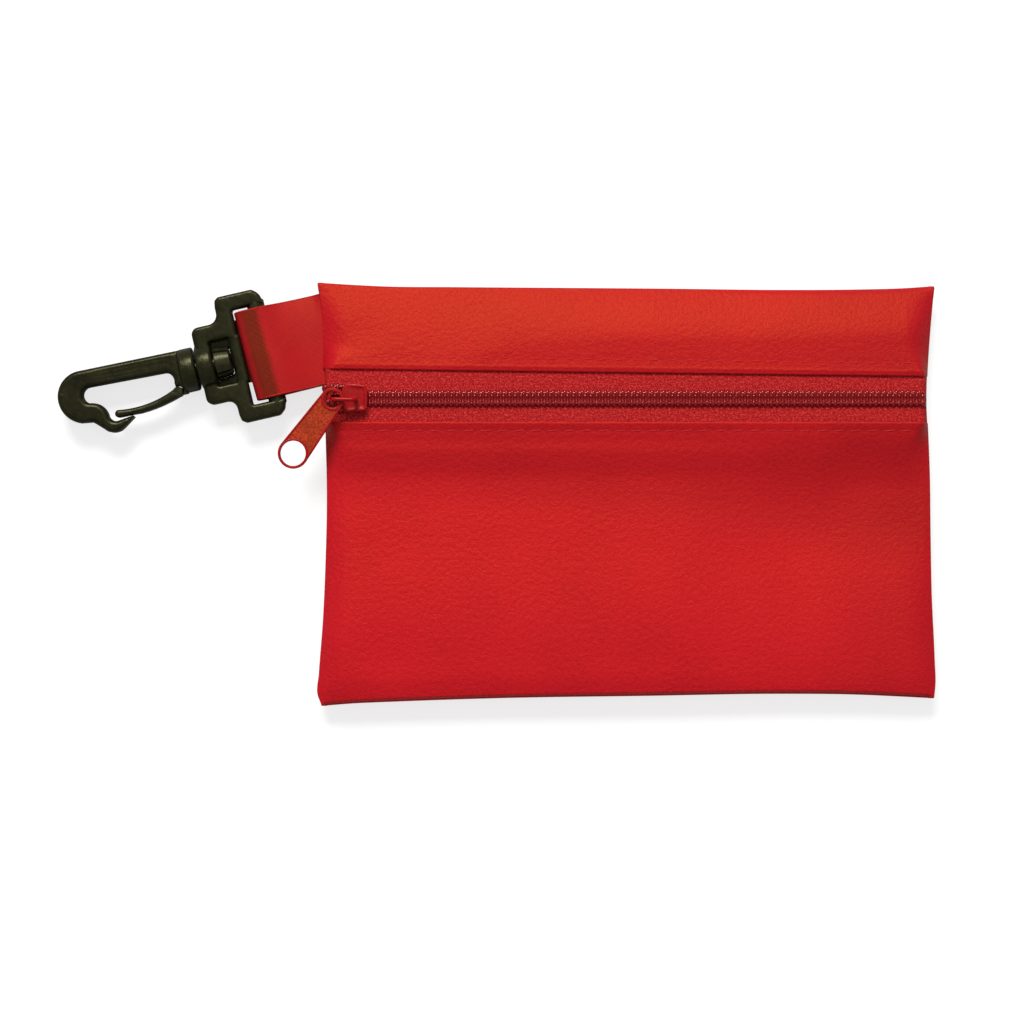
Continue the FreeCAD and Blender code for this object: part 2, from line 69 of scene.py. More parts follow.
def joint(name):
    found = next(j for j in frame["joints"] if j["name"] == name)
    return np.array(found["pos_m"]) / MM, np.array(found["axis"], float)


# ---- camera, light and floor --------------------------------------------------

# In metres, as all of this section.
CAMERA_AT = (-0.0288, -0.0049, 0.7139)      # over the middle of the photograph, looking straight down
LENS, SENSOR = 100, 36
CLIP_NEAR, CLIP_FAR = 0.05, 20
WHITE = (1, 1, 1)
AMBIENT = 0.264             # light from all sides; the camera sees white instead
FLOOR_REACH, FLOOR_LOW = 12.0, -0.0002
FLOOR_GREY = 0.46           # what the floor gives back of the light, so that shadows show on it
FLOOR_GLOW = 0.72           # added for the camera, so that the lit floor is white


def link(name, data):
    thing = bpy.data.objects.new(name, data)
    bpy.context.scene.collection.objects.link(thing)
    return thing


def camera():
    data = bpy.data.cameras.new("camera")
    data.lens, data.sensor_width = LENS, SENSOR
    data.clip_start, data.clip_end = CLIP_NEAR, CLIP_FAR
    eye = link("camera", data)
    eye.location = CAMERA_AT
    bpy.context.scene.camera = eye


def lamp(name, place, size, power, colour=WHITE):
    """Rectangular lamp that faces the origin."""
    data = bpy.data.lights.new(name, "AREA")
    data.shape = "RECTANGLE"
    data.size, data.size_y = size
    data.energy, data.color = power, colour
    thing = link(name, data)
    thing.location = place
    thing.rotation_mode = "QUATERNION"
    thing.rotation_quaternion = Vector(place).to_track_quat("Z", "Y")


def stage():
    world = Shader("studio", "World")
    bpy.context.scene.world = world.owner
    ambient, backdrop = (world.filled("ShaderNodeBackground", Color=WHITE, Strength=strength)
                         for strength in (AMBIENT, 1.0))
    world.show(world.join("ShaderNodeMixShader", world.seen(), ambient, backdrop))

    paper = Shader("paper")
    shade = paper.filled("ShaderNodeBsdfDiffuse", Color=(FLOOR_GREY,) * 3)
    dark, glow = (paper.filled("ShaderNodeEmission", Strength=strength) for strength in (0.0, FLOOR_GLOW))
    seen = paper.join("ShaderNodeMixShader", paper.seen(), dark, glow)
    paper.show(paper.join("ShaderNodeAddShader", shade, seen))
    floor = bpy.data.meshes.new("floor")
    corners = ((-1, -1), (1, -1), (1, 1), (-1, 1))
    floor.from_pydata([(x * FLOOR_REACH, y * FLOOR_REACH, FLOOR_LOW) for x, y in corners], [], [(0, 1, 2, 3)])
    floor.materials.append(paper.owner)
    link("floor", floor)

    lamp("key", place=(-0.20, 0.98, 1.04), size=(0.6, 0.45), power=18.0, colour=(1.0, 0.985, 0.96))
    lamp("top", place=(0.1, 0.1, 1.3), size=(0.6, 0.6), power=0.85)


# ---- materials ----------------------------------------------------------------

class Shader:
    """Node tree of a material or of the world. A value is a number, a colour or a node's output."""

    def __init__(self, name, kind="Material"):
        self.owner = (bpy.data.worlds if kind == "World" else bpy.data.materials).new(name)
        self.owner.use_nodes = True
        self.tree = self.owner.node_tree
        self.tree.nodes.clear()
        self.out = self.node("ShaderNodeOutput" + kind)

    def node(self, kind, **settings):
        made = self.tree.nodes.new(kind)
        for key, value in settings.items():
            setattr(made, key, value)
        return made

    def put(self, socket, value):
        if isinstance(value, bpy.types.NodeSocket):
            self.tree.links.new(value, socket)
        else:
            socket.default_value = (*value, 1) if socket.type == "RGBA" else value

    def filled(self, kind, out=0, **sockets):
        """Output of a new node, with its sockets given by name; _ stands for a blank."""
        made = self.node(kind)
        for key, value in sockets.items():
            self.put(made.inputs[key.replace("_", " ")], value)
        return made.outputs[out]

    def join(self, kind, *values, **settings):
        """Output of a new node, with its sockets given in order."""
        made = self.node(kind, **settings)
        for socket, value in zip(made.inputs, values):
            self.put(socket, value)
        return made.outputs[0]

    def math(self, operation, *values):
        return self.join("ShaderNodeMath", *values, operation=operation)

    def times(self, a, b):
        return self.math("MULTIPLY", a, b)

    def line(self, value, slope, start):
        return self.math("MULTIPLY_ADD", value, slope, start)

    def sum(self, *terms):
        """Weighted sum of (value, weight) pairs."""
        total = self.times(*terms[-1])
        for value, weight in terms[-2::-1]:
            total = self.line(value, weight, total)
        return total

    def flipped(self, value):
        return self.math("SUBTRACT", 1.0, value)

    def mix(self, factor, a, b, kind="FLOAT"):
        made = self.node("ShaderNodeMix", data_type=kind)
        first, out = (2, 0) if kind == "FLOAT" else (6, 2)
        for key, value in ((0, factor), (first, a), (first + 1, b)):
            self.put(made.inputs[key], value)
        return made.outputs[out]

    def blend(self, factor, a, b):
        """Colour between the colours a and b."""
        return self.mix(factor, a, b, "RGBA")

    def ramp(self, value, low, high):
        """0 at low, 1 at high, smooth between."""
        made = self.node("ShaderNodeMapRange", interpolation_type="SMOOTHSTEP")
        for key, number in (("Value", value), ("From Min", low), ("From Max", high)):
            self.put(made.inputs[key], number)
        return made.outputs["Result"]

    def seen(self):
        """1 where the camera looks, straight or through something clear."""
        rays = self.node("ShaderNodeLightPath").outputs
        return self.math("MAXIMUM", rays["Is Camera Ray"], rays["Is Transmission Ray"])

    def split(self, vector):
        parts = self.node("ShaderNodeSeparateXYZ")
        self.put(parts.inputs[0], vector)
        return parts.outputs[0], parts.outputs[1]

    def uv(self):
        """Place on the piece in millimetres: the vector, along and across."""
        source = self.node("ShaderNodeUVMap", uv_map="place").outputs[0]
        return (source, *self.split(source))

    def place(self):
        """Place in the piece's own space, in metres."""
        return self.node("ShaderNodeTexCoord").outputs["Object"]

    def noise(self, vector, scale, detail=2.0, roughness=0.5):
        return self.filled("ShaderNodeTexNoise", "Fac", Vector=vector, Scale=scale, Detail=detail,
                           Roughness=roughness)

    def edges(self, low, high):
        """0 on flat faces, 1 on sharp edges."""
        return self.ramp(self.node("ShaderNodeNewGeometry").outputs["Pointiness"], low, high)

    def threads(self, value, pitch=None):
        """Round backs of threads side by side: 0 between them, 1 on their crests."""
        part = self.math("FRACT", value if pitch is None else self.math("DIVIDE", value, pitch))
        centred = self.line(part, 2.0, -1.0)
        return self.flipped(self.times(centred, centred))

    def twill(self, u, v, pitch, over, repeat):
        """Height of a twill weave, with its ribs on the diagonal."""
        a, b = self.math("DIVIDE", u, pitch), self.math("DIVIDE", v, pitch)
        cell = self.math("ADD", self.math("FLOOR", a), self.math("FLOOR", b))
        warp_up = self.math("LESS_THAN", self.math("FLOORED_MODULO", cell, repeat), over - 0.5)
        return self.mix(warp_up, self.threads(b), self.threads(a))

    def bump(self, *layers):
        """Normal bent by layers of (height, distance in metres, strength)."""
        below = {}
        for height, distance, strength in layers:
            normal = self.filled("ShaderNodeBump", Height=height, Distance=distance, Strength=strength,
                                 **below)
            below = {"Normal": normal}
        return normal

    def show(self, output):
        self.put(self.out.inputs["Surface"], output)

    def finish(self, colour, roughness, normal, **sockets):
        """The material, with a principled surface."""
        self.show(self.filled("ShaderNodeBsdfPrincipled", Base_Color=colour, Roughness=roughness,
                              Normal=normal, **sockets))
        return self.owner


def cloth_material():
    """Nylon with a fine twill and grain, brighter below a slanted line across it, and darker at its right end
    with painted shade.
    """
    s = Shader("red_cloth")
    dark, light = (0.40, 0.0050, 0.0155), (0.58, 0.0085, 0.0205)
    vector, u, v = s.uv()
    weave = s.twill(u, v, pitch=0.42, over=2, repeat=3)
    yarns = s.noise(vector, 2.3, 3.0, 0.65)
    clouds = s.noise(vector, 0.045)
    grain = s.noise(vector, 0.85, 3.0, 0.65)
    shade = s.ramp(s.sum((clouds, 0.35), (grain, 0.50), (weave, 0.08), (yarns, 0.72)), 0.45, 0.96)
    x, y = s.split(s.place())
    # Brighter red below a slanted line across the pouch.
    slant = s.line(x, 0.14, y)
    brighter_below_slant = s.flipped(s.ramp(s.line(clouds, 0.006, slant), -0.009, 0.006))
    vivid = s.blend(shade, *((one[0] * 1.17, one[1], one[2] * 1.14) for one in (dark, light)))
    colour = s.blend(brighter_below_slant, s.blend(shade, dark, light), vivid)
    # Darker towards the right end: painted shade where the light falls off.
    painted_shade_right_end = s.times(s.ramp(x, 0.040, 0.068), 0.22)
    colour = s.blend(painted_shade_right_end, colour, (dark[0] * 0.85, dark[1], dark[2]))
    normal = s.bump((weave, 0.00003, 0.5), (yarns, 0.00011, 0.8), (grain, 0.00024, 1.0))
    return s.finish(colour, s.line(grain, 0.12, 0.38), normal, Specular_IOR_Level=0.38,
                    Specular_Tint=(1, 0.42, 0.0), Sheen_Weight=0.05, Sheen_Roughness=0.4,
                    Sheen_Tint=(1, 0.22, 0.06))


def tape_material():
    """Woven tape: uneven herringbone ribs, with painted glints of light on their crests."""
    s = Shader("zip_tape")
    vector, u, v = s.uv()
    wander = s.line(s.noise(vector, 0.9), 2.0, -1.0)
    slant = s.math("ADD", s.line(s.math("PINGPONG", v, 1.15), 1.1, u), wander)
    rib = s.threads(slant, 0.62)
    cross = s.threads(s.math("ADD", v, s.times(wander, 0.4)), 0.36)
    weave = s.sum((cross, 0.45), (rib, 0.55))
    tufts = s.noise(vector, 1.7, 4.0, 0.75)
    # Bright specks on the rib crests: painted glints of light.
    painted_glints = s.ramp(s.times(tufts, s.line(weave, 0.5, 0.5)), 0.40, 0.55)
    base = s.blend(s.ramp(s.sum((weave, 0.5), (s.noise(vector, 1.1), 0.6)), 0.2, 0.95),
                   (0.27, 0.0060, 0.0085), (0.54, 0.0125, 0.0155))
    colour = s.blend(painted_glints, base, (0.80, 0.060, 0.056))
    return s.finish(colour, 0.5, s.bump((weave, 0.00008, 0.8), (tufts, 0.00022, 0.8)),
                    Specular_IOR_Level=0.25, Specular_Tint=(1, 0.22, 0.22))


def ribbon_material():
    """Satin ribbon: fine slanted ribs, a dark brownish band where it bends over the bar, and painted shade past
    the bend.
    """
    s = Shader("red_ribbon")
    vector, u, v = s.uv()
    weave = s.twill(u, v, pitch=0.30, over=4, repeat=5)
    slant = s.threads(s.line(v, 0.55, u), 0.62)
    mesh = s.threads(s.line(v, -0.9, u), 0.55)
    grain = s.noise(vector, 1.3, 3.0, 0.6)
    shade = s.sum((weave, 0.25), (s.noise(vector, 0.10), 0.45), (grain, 0.3))
    colour = s.blend(s.ramp(shade, 0.2, 0.85), (0.42, 0.0080, 0.0160), (0.54, 0.0130, 0.0190))
    # A dark brownish band across the ribbon where it bends over the bar, speckled by the weave.
    wander = s.line(s.noise(vector, 0.3), 1.2, -0.6)
    band = s.flipped(s.ramp(s.math("ABSOLUTE", s.math("ADD", u, wander)), 1.1, 3.1))
    fine = s.sum((slant, 0.30), (mesh, 0.30), (grain, 0.4))
    speckle = s.ramp(s.sum((s.noise(vector, 3.0, 2.0, 0.7), 0.6), (fine, 0.55)), 0.32, 0.62)
    colour = s.blend(s.times(band, s.line(speckle, 0.80, 0.12)), colour, (0.135, 0.012, 0.006))
    # Darker from partway round the bend onward, down round the bar and under it: painted shade.
    colour = s.blend(s.times(s.ramp(u, 1.9, 3.4), 0.45), colour, (0.30, 0.012, 0.012))
    return s.finish(colour, s.line(grain, 0.12, 0.38), s.bump((weave, 0.00004, 0.7), (slant, 0.00004, 0.6)),
                    Specular_IOR_Level=0.45, Specular_Tint=(1, 0.34, 0.10), Anisotropic=0.4)


def coil_material():
    s = Shader("zip_coil")
    streaks = s.noise(s.place(), 900)
    colour = s.blend(streaks, (0.23, 0.0012, 0.0028), (0.31, 0.0032, 0.0050))
    return s.finish(colour, 0.24, s.bump((streaks, 0.00001, 0.4)), Specular_IOR_Level=0.7,
                    Specular_Tint=(1, 0.28, 0.26), Coat_Weight=0.6, Coat_Roughness=0.17)


def thread_material():
    s = Shader("sewing_thread")
    vector, u, v = s.uv()
    ply = s.threads(s.line(v, 1.6, u), 0.34)
    colour = s.blend(s.ramp(s.sum((ply, 0.5), (s.noise(vector, 4.0), 0.6)), 0.2, 1.0),
                     (0.50, 0.012, 0.018), (0.78, 0.045, 0.042))
    return s.finish(colour, 0.5, s.bump((ply, 0.00006, 0.8)), Specular_IOR_Level=0.35,
                    Specular_Tint=(1, 0.35, 0.2))


def enamel_material(name, deep, bright, worn, wear, grain_size):
    """Painted metal: fine speckle in the paint, browner in worn patches, and lighter on its edges with painted
    highlights.
    """
    s = Shader(name)
    here = s.place()
    grain = s.noise(here, grain_size, 3.0, 0.7)
    patches = s.ramp(s.noise(here, 260, 3.0), 0.42, 0.66)
    colour = s.blend(s.ramp(grain, 0.41, 0.59), deep, bright)
    colour = s.blend(s.times(patches, wear), colour, worn)
    # Lighter towards the bright paint on sharp edges: painted highlights.
    colour = s.blend(s.times(s.edges(0.52, 0.62), 0.35), colour, bright)
    return s.finish(colour, s.line(grain, 0.2, 0.24), s.bump((grain, 0.00004, 0.5)), Specular_IOR_Level=0.45,
                    Specular_Tint=(1, 0.28, 0.22), Coat_Weight=0.04, Coat_Roughness=0.15)


def plastic_material():
    """Black moulded nylon with a faint olive cast, paler on its edges: scuffs and painted highlights."""
    s = Shader("black_plastic")
    here = s.place()
    skin = s.noise(here, 800, 4.0, 0.65)
    flow = s.noise(here, 150, 3.0, 0.6)
    colour = s.blend(s.ramp(s.sum((skin, 0.5), (flow, 0.5)), 0.35, 0.65),
                     (0.0030, 0.0032, 0.0010), (0.0125, 0.0125, 0.0045))
    # Paler olive on the edges, broken by the skin noise: partly scuffs, partly painted highlights along the
    # edges.
    scuffs_and_edge_highlights = s.times(s.edges(0.51, 0.60), s.line(skin, 0.6, 0.1))
    colour = s.blend(scuffs_and_edge_highlights, colour, (0.062, 0.062, 0.034))
    return s.finish(colour, s.line(skin, 0.2, 0.22), s.bump((flow, 0.00030, 0.6), (skin, 0.00009, 0.7)),
                    Specular_IOR_Level=0.30, Specular_Tint=(1, 0.98, 0.55))


def lining_material():
    """Coated inner side of the pouch cloth: smooth film over the weave."""
    s = Shader("cloth_lining")
    vector, u, v = s.uv()
    weave = s.twill(u, v, pitch=0.40, over=2, repeat=3)
    colour = s.blend(s.ramp(s.noise(vector, 0.12, 3.0), 0.3, 0.7), (0.36, 0.018, 0.020), (0.47, 0.032, 0.032))
    return s.finish(colour, 0.42, s.bump((weave, 0.00003, 0.5)), Specular_IOR_Level=0.5,
                    Specular_Tint=(1, 0.7, 0.65))


def packet_material(name, light, dark, tint, roughness, metallic, rows):
    """Unprinted wrapper: fibre or foil grain, with pressed lines across its sealed ends."""
    s = Shader(name)
    vector, u, v = s.uv()
    fibre = s.noise(vector, 1.4, 4.0, 0.65)
    crimp = s.threads(u if rows == "u" else v, 0.9)
    seal = s.node("ShaderNodeAttribute", attribute_name="seal").outputs["Fac"]
    colour = s.blend(s.ramp(s.sum((s.noise(vector, 0.09), 0.6), (fibre, 0.4)), 0.3, 0.7), dark, light)
    colour = s.blend(s.times(seal, 0.35), colour, tint)
    return s.finish(colour, roughness, s.bump((s.times(crimp, seal), 0.00018, 0.9), (fibre, 0.00005, 0.6)),
                    Metallic=metallic, Specular_IOR_Level=0.45)


# ---- meshes -------------------------------------------------------------------

class Build:
    """Collects vertices in millimetres, faces and place coordinates of one piece."""

    def __init__(self):
        self.points, self.places, self.faces, self.slots = [], [], [], []
        self.count = 0

    def add(self, points, faces, places=None, slot=0):
        points = np.asarray(points, float).reshape(-1, 3)
        places = points[:, :2] if places is None else np.asarray(places, float).reshape(-1, 2)
        self.points.append(points)
        self.places.append(places)
        self.faces += [tuple(int(k) + self.count for k in face) for face in faces]
        self.slots += [slot] * len(faces) if np.isscalar(slot) else list(slot)
        self.count += len(points)

    def make(self, name, materials, sharp=42, matrix=None, warp=None):
        points = np.concatenate(self.points)
        if warp is not None:
            points = warp(points)
        if matrix is not None:
            points = points @ matrix[0].T + matrix[1]
        mesh = bpy.data.meshes.new(name)
        mesh.from_pydata((points * MM).tolist(), [], self.faces)
        layer = mesh.uv_layers.new(name="place")
        order = np.zeros(len(mesh.loops), np.int32)
        mesh.loops.foreach_get("vertex_index", order)
        layer.data.foreach_set("uv", np.concatenate(self.places)[order].astype(np.float32).ravel())
        for one in materials:
            mesh.materials.append(one)
        mesh.polygons.foreach_set("material_index", np.array(self.slots, np.int32))
        mesh.shade_smooth()
        mesh.set_sharp_from_angle(angle=math.radians(sharp))
        mesh.update()
        return link(name, mesh)


def turned(angle, origin):
    """Rotation about Z and shift, for Build.make."""
    c, s = math.cos(angle), math.sin(angle)
    return np.array([[c, -s, 0], [s, c, 0], [0, 0, 1.0]]), np.array(origin, float)


def normals(grid):
    """Unit normals of a grid of points."""
    normal = np.cross(np.gradient(grid, axis=0), np.gradient(grid, axis=1))
    return normal / np.maximum(np.linalg.norm(normal, axis=2, keepdims=True), 1e-9)


def shell_faces(nu, nv):
    """Faces of two grids of nu by nv points, one over the other: upper side, lower side and rim."""
    index = np.arange(nu * nv).reshape(nu, nv)
    quads = np.stack([index[:-1, :-1], index[1:, :-1], index[1:, 1:], index[:-1, 1:]], axis=2).reshape(-1, 4)
    rim = []
    for line in (index[:, 0], index[-1, :], index[::-1, -1], index[0, ::-1]):
        rim += [(b, a, a + nu * nv, b + nu * nv) for a, b in zip(line[:-1], line[1:])]
    return quads.tolist(), (quads[:, ::-1] + nu * nv).tolist(), rim


def thick_sheet(build, grid, thickness, inside=0, along=None, across=None):
    """Closed shell of even thickness about a grid of points; inside is the slot of its lower side."""
    offset = normals(grid) * thickness / 2
    run = np.cumsum(np.linalg.norm(np.diff(grid, axis=1, prepend=grid[:, :1]), axis=2), axis=1)
    u = grid[:, :, 0] if along is None else along
    v = run - run[:, -1:] if across is None else across
    upper, lower, rim = shell_faces(*grid.shape[:2])
    build.add(np.concatenate([(grid + offset).reshape(-1, 3), (grid - offset).reshape(-1, 3)]),
              upper + lower + rim, np.tile(np.stack([u, v], axis=2).reshape(-1, 2), (2, 1)),
              [0] * len(upper) + [inside] * len(lower) + [0] * len(rim))


def tube(build, path, radius, sides=8, slot=0):
    """Round bar along a path of points; radius may differ from point to point."""
    path = np.asarray(path, float)
    n = len(path)
    radius = np.broadcast_to(radius, (n,))
    tangent = np.gradient(path, axis=0)
    tangent /= np.linalg.norm(tangent, axis=1, keepdims=True)
    side = np.cross(tangent[0], (0, 0, 1.0))
    if np.linalg.norm(side) < 0.1:
        side = np.cross(tangent[0], (0, 1.0, 0))
    points, places = [], []
    angles = np.linspace(0, 2 * math.pi, sides, endpoint=False)
    run = 0.0
    for k in range(n):
        side = side - tangent[k] * side.dot(tangent[k])
        side /= np.linalg.norm(side)
        up = np.cross(side, tangent[k])
        points.append(path[k] + radius[k] * (np.outer(np.cos(angles), side) + np.outer(np.sin(angles), up)))
        run += np.linalg.norm(path[k] - path[k - 1]) if k else 0
        places.append(np.stack([np.full(sides, run), angles * radius[k]], axis=1))
    faces = []
    for a in range(0, (n - 1) * sides, sides):
        for m in range(sides):
            q = (m + 1) % sides
            faces.append((a + m, a + sides + m, a + sides + q, a + q))
    faces.append(tuple(range(sides)))
    faces.append(tuple((n - 1) * sides + m for m in range(sides - 1, -1, -1)))
    build.add(np.concatenate(points), faces, np.concatenate(places), slot)


def lathe(build, profile, segments=48, axis=0, centre=(0, 0, 0), start=0.0, sweep=2 * math.pi):
    """Profile of (place along the axis, radius), turned about the axis."""
    full = abs(sweep - 2 * math.pi) < 1e-9
    angles = start + np.linspace(0, sweep, segments, endpoint=not full)
    points = []
    for place, radius in profile:
        for angle in angles:
            a, b = radius * math.cos(angle), radius * math.sin(angle)
            points.append({0: (place, a, b), 1: (b, place, a), 2: (a, b, place)}[axis])
    n = len(angles)
    faces = []
    for a in range(0, (len(profile) - 1) * n, n):
        for m in range(n if full else n - 1):
            q = (m + 1) % n
            faces.append((a + m, a + q, a + n + q, a + n + m))
    build.add(np.array(points) + centre, faces)


def arc3(a, m, b, count=10):
    """Points from a to b on the arc through m, without a."""
    ax, ay, bx, by, cx, cy = *a, *m, *b
    aa, bb, cc = ax * ax + ay * ay, bx * bx + by * by, cx * cx + cy * cy
    d = 2 * (ax * (by - cy) + bx * (cy - ay) + cx * (ay - by))
    ux = (aa * (by - cy) + bb * (cy - ay) + cc * (ay - by)) / d
    uy = (aa * (cx - bx) + bb * (ax - cx) + cc * (bx - ax)) / d
    radius = math.hypot(ax - ux, ay - uy)
    t0, tm, t1 = (math.atan2(p[1] - uy, p[0] - ux) for p in (a, m, b))
    to_end = (t1 - t0) % (2 * math.pi)
    sweep = to_end if (tm - t0) % (2 * math.pi) < to_end else to_end - 2 * math.pi
    return [(ux + radius * math.cos(t0 + sweep * k / count), uy + radius * math.sin(t0 + sweep * k / count))
            for k in range(1, count + 1)]


def drawn(start, pieces, count=10):
    """Closed outline from points and (middle, end) arcs."""
    line = [start]
    for piece in pieces:
        if isinstance(piece[0], tuple):
            line += arc3(line[-1], piece[0], piece[1], count)
        else:
            line.append(piece)
    return line[:-1] if math.dist(line[0], line[-1]) < 1e-6 else line


def rounded(corners, count=7):
    """Polygon whose corners, each (x, y, radius), are rounded."""
    line = []
    for k, (x, y, r) in enumerate(corners):
        at = np.array((x, y))
        before, after = (np.array(corners[n][:2]) - at for n in (k - 1, (k + 1) % len(corners)))
        before, after = before / np.linalg.norm(before), after / np.linalg.norm(after)
        angle = math.acos(max(-1, min(1, before.dot(after))))
        if r < 1e-6 or angle > math.pi - 1e-3:
            line.append((x, y))
            continue
        back = r / math.tan(angle / 2)
        a, b = at + before * back, at + after * back
        centre = at + (before + after) / np.linalg.norm(before + after) * r / math.sin(angle / 2)
        middle = centre + (at - centre) / np.linalg.norm(at - centre) * r
        line.append(tuple(a))
        line += arc3(tuple(a), tuple(middle), tuple(b), count)
    return line


def mirrored(half):
    """Corners, and after them the same corners backwards on the other side of y = 0."""
    return half + [(x, -y, r) for x, y, r in reversed(half)]


def circle(x, y, r, count=48):
    return [(x + r * math.cos(2 * math.pi * k / count), y + r * math.sin(2 * math.pi * k / count))
            for k in range(count)]


def refined(line, step):
    """The same closed outline, with no side longer than step."""
    out = []
    for a, b in zip(line, line[1:] + line[:1]):
        length = math.dist(a, b)
        if length < 1e-5:
            continue
        count = max(1, math.ceil(length / step))
        out += [(a[0] + (b[0] - a[0]) * k / count, a[1] + (b[1] - a[1]) * k / count) for k in range(count)]
    return np.array(out)


def clear_of(points, loops):
    """Distance of points to the outlines, and whether they lie inside."""
    nearest = np.full(len(points), 1e9)
    inside = np.zeros(len(points), bool)
    for loop in loops:
        a, b = loop, np.roll(loop, -1, 0)
        d = b - a
        for start in range(0, len(points), 2000):
            p = points[start:start + 2000, None, :]
            t = np.clip(((p - a) * d).sum(2) / (d * d).sum(1), 0, 1)
            gap = np.linalg.norm(p - (a + t[..., None] * d), axis=2).min(1)
            nearest[start:start + 2000] = np.minimum(nearest[start:start + 2000], gap)
            x, y = p[:, 0, 0], p[:, 0, 1]
            crosses = (a[:, 1] > y[:, None]) != (b[:, 1] > y[:, None])
            with np.errstate(divide="ignore", invalid="ignore"):
                at = (b[:, 0] - a[:, 0]) * (y[:, None] - a[:, 1]) / (b[:, 1] - a[:, 1]) + a[:, 0]
            inside[start:start + 2000] ^= (crosses & (x[:, None] < at)).sum(1) % 2 == 1
    return nearest, inside


def moulded(build, outlines, height, profile, rings, step=0.35, inner=1.2, z=0.0, slot=0):
    """Plate inside the outlines, the same above and below, whose height follows the distance from its edge.

    height is half the plate's thickness in its middle. profile(d, p, q) is how far below it the surface lies at
    the distance d from the edge. rings are the distances that get rows of points, and z is the plate's middle.
    """
    loops = [refined(line, step) for line in outlines]
    every = np.concatenate(loops)
    edge_count = len(every)
    cloud = [every]
    for ring in rings:
        made = []
        for loop in loops:
            ahead = np.roll(loop, -1, 0) - np.roll(loop, 1, 0)
            normal = np.stack([ahead[:, 1], -ahead[:, 0]], axis=1)
            normal /= np.maximum(np.linalg.norm(normal, axis=1, keepdims=True), 1e-9)
            made += [loop + normal * ring, loop - normal * ring]
        made = np.concatenate(made)
        gap, inside = clear_of(made, loops)
        cloud.append(made[inside & (gap > ring - 0.02)])
    low, high = every.min(0), every.max(0)
    grid = np.stack(np.meshgrid(np.arange(low[0], high[0], inner), np.arange(low[1], high[1], inner)), axis=2)
    grid = grid.reshape(-1, 2)
    gap, inside = clear_of(grid, loops)
    cloud.append(grid[inside & (gap > max(rings) + 0.3)])
    flat = np.concatenate(cloud)
    kept = list(range(edge_count))
    cells = {}
    for k, p in enumerate(flat):
        key = (round(p[0] / 0.08), round(p[1] / 0.08))
        if k >= edge_count and key not in cells:
            kept.append(k)
        cells.setdefault(key, k)
    edges = []
    for loop in loops:
        n, first = len(loop), len(edges)
        edges += [(first + k, first + (k + 1) % n) for k in range(n)]
    verts, _, tris, *_ = delaunay_2d_cdt([Vector(p) for p in flat[kept].tolist()], edges, [], 0, 1e-6)
    verts = np.array([tuple(v) for v in verts])
    _, inside = clear_of(np.array([verts[list(t)].mean(0) for t in tris]), loops)
    turn = []
    for t, keep in zip(tris, inside):
        if keep:
            a, b, c = verts[list(t)]
            turn.append(t if np.cross(b - a, c - a) > 0 else t[::-1])
    gap, _ = clear_of(verts, loops)
    gap[:edge_count] = 0
    top = np.array([height - profile(d, p, q) for d, (p, q) in zip(gap, verts)])
    n = len(verts)
    faces = [tuple(t) for t in turn] + [tuple(k + n for k in t[::-1]) for t in turn]
    sides = [pair for t in turn for pair in ((t[0], t[1]), (t[1], t[2]), (t[2], t[0]))]
    border = set(sides)
    faces += [(b, a, a + n, b + n) for a, b in dict.fromkeys(sides) if (b, a) not in border]
    both = np.concatenate([np.column_stack([verts, top]), np.column_stack([verts, -top])])
    build.add(both + (0, 0, z), faces, slot=slot)


def round_edge(radius):
    """Profile of a plate with rounded edges."""
    def drop(d, p=0, q=0):
        left = max(0.0, radius - d)
        return radius - math.sqrt(max(0.0, radius * radius - left * left))
    return drop


# ---- the pouch's shape ----------------------------------------------------------

def spline(table):
    """Smooth curve through (place, value) pairs."""
    xs, ys = (np.array(c, float) for c in zip(*table))
    slope = np.gradient(ys, xs)

    def at(x):
        x = np.asarray(x, float)
        k = np.clip(np.searchsorted(xs, x) - 1, 0, len(xs) - 2)
        h = xs[k + 1] - xs[k]
        t = np.clip((x - xs[k]) / h, 0, 1)
        a, b = ys[k], ys[k + 1]
        m0, m1 = slope[k] * h, slope[k + 1] * h
        return ((2 * t ** 3 - 3 * t ** 2 + 1) * a + (t ** 3 - 2 * t ** 2 + t) * m0
                + (3 * t ** 2 - 2 * t ** 3) * b + (t ** 3 - t ** 2) * m1)
    return at


def smooth(t):
    t = np.clip(t, 0, 1)
    return t * t * (3 - 2 * t)


def rounding(distance, reach, power):
    return 1 - (1 - np.clip(distance / reach, 0, 1)) ** power


pouch_low, pouch_high = low_of("back_panel"), high_of("back_panel")
half_length = (pouch_high[0] - pouch_low[0]) / 2
half_width = (pouch_high[1] - pouch_low[1]) / 2
seam_z = 5.5                # height of the side seams over the floor
front_z = round(low_of("lower_hem_stitching")[2] - 0.1, 2)
tape_top = high_of("lower_zip_tape")[2]
coil_low, coil_high = low_of("upper_coil")[2], high_of("upper_coil")[2]
zip_y = (low_of("zip_slider")[1] + high_of("zip_slider")[1]) / 2
lower_hem = zip_y - 5.9
cloth = 0.38                # thickness
fold = 0.21                 # radius of the hem's turn, at the middle of the cloth

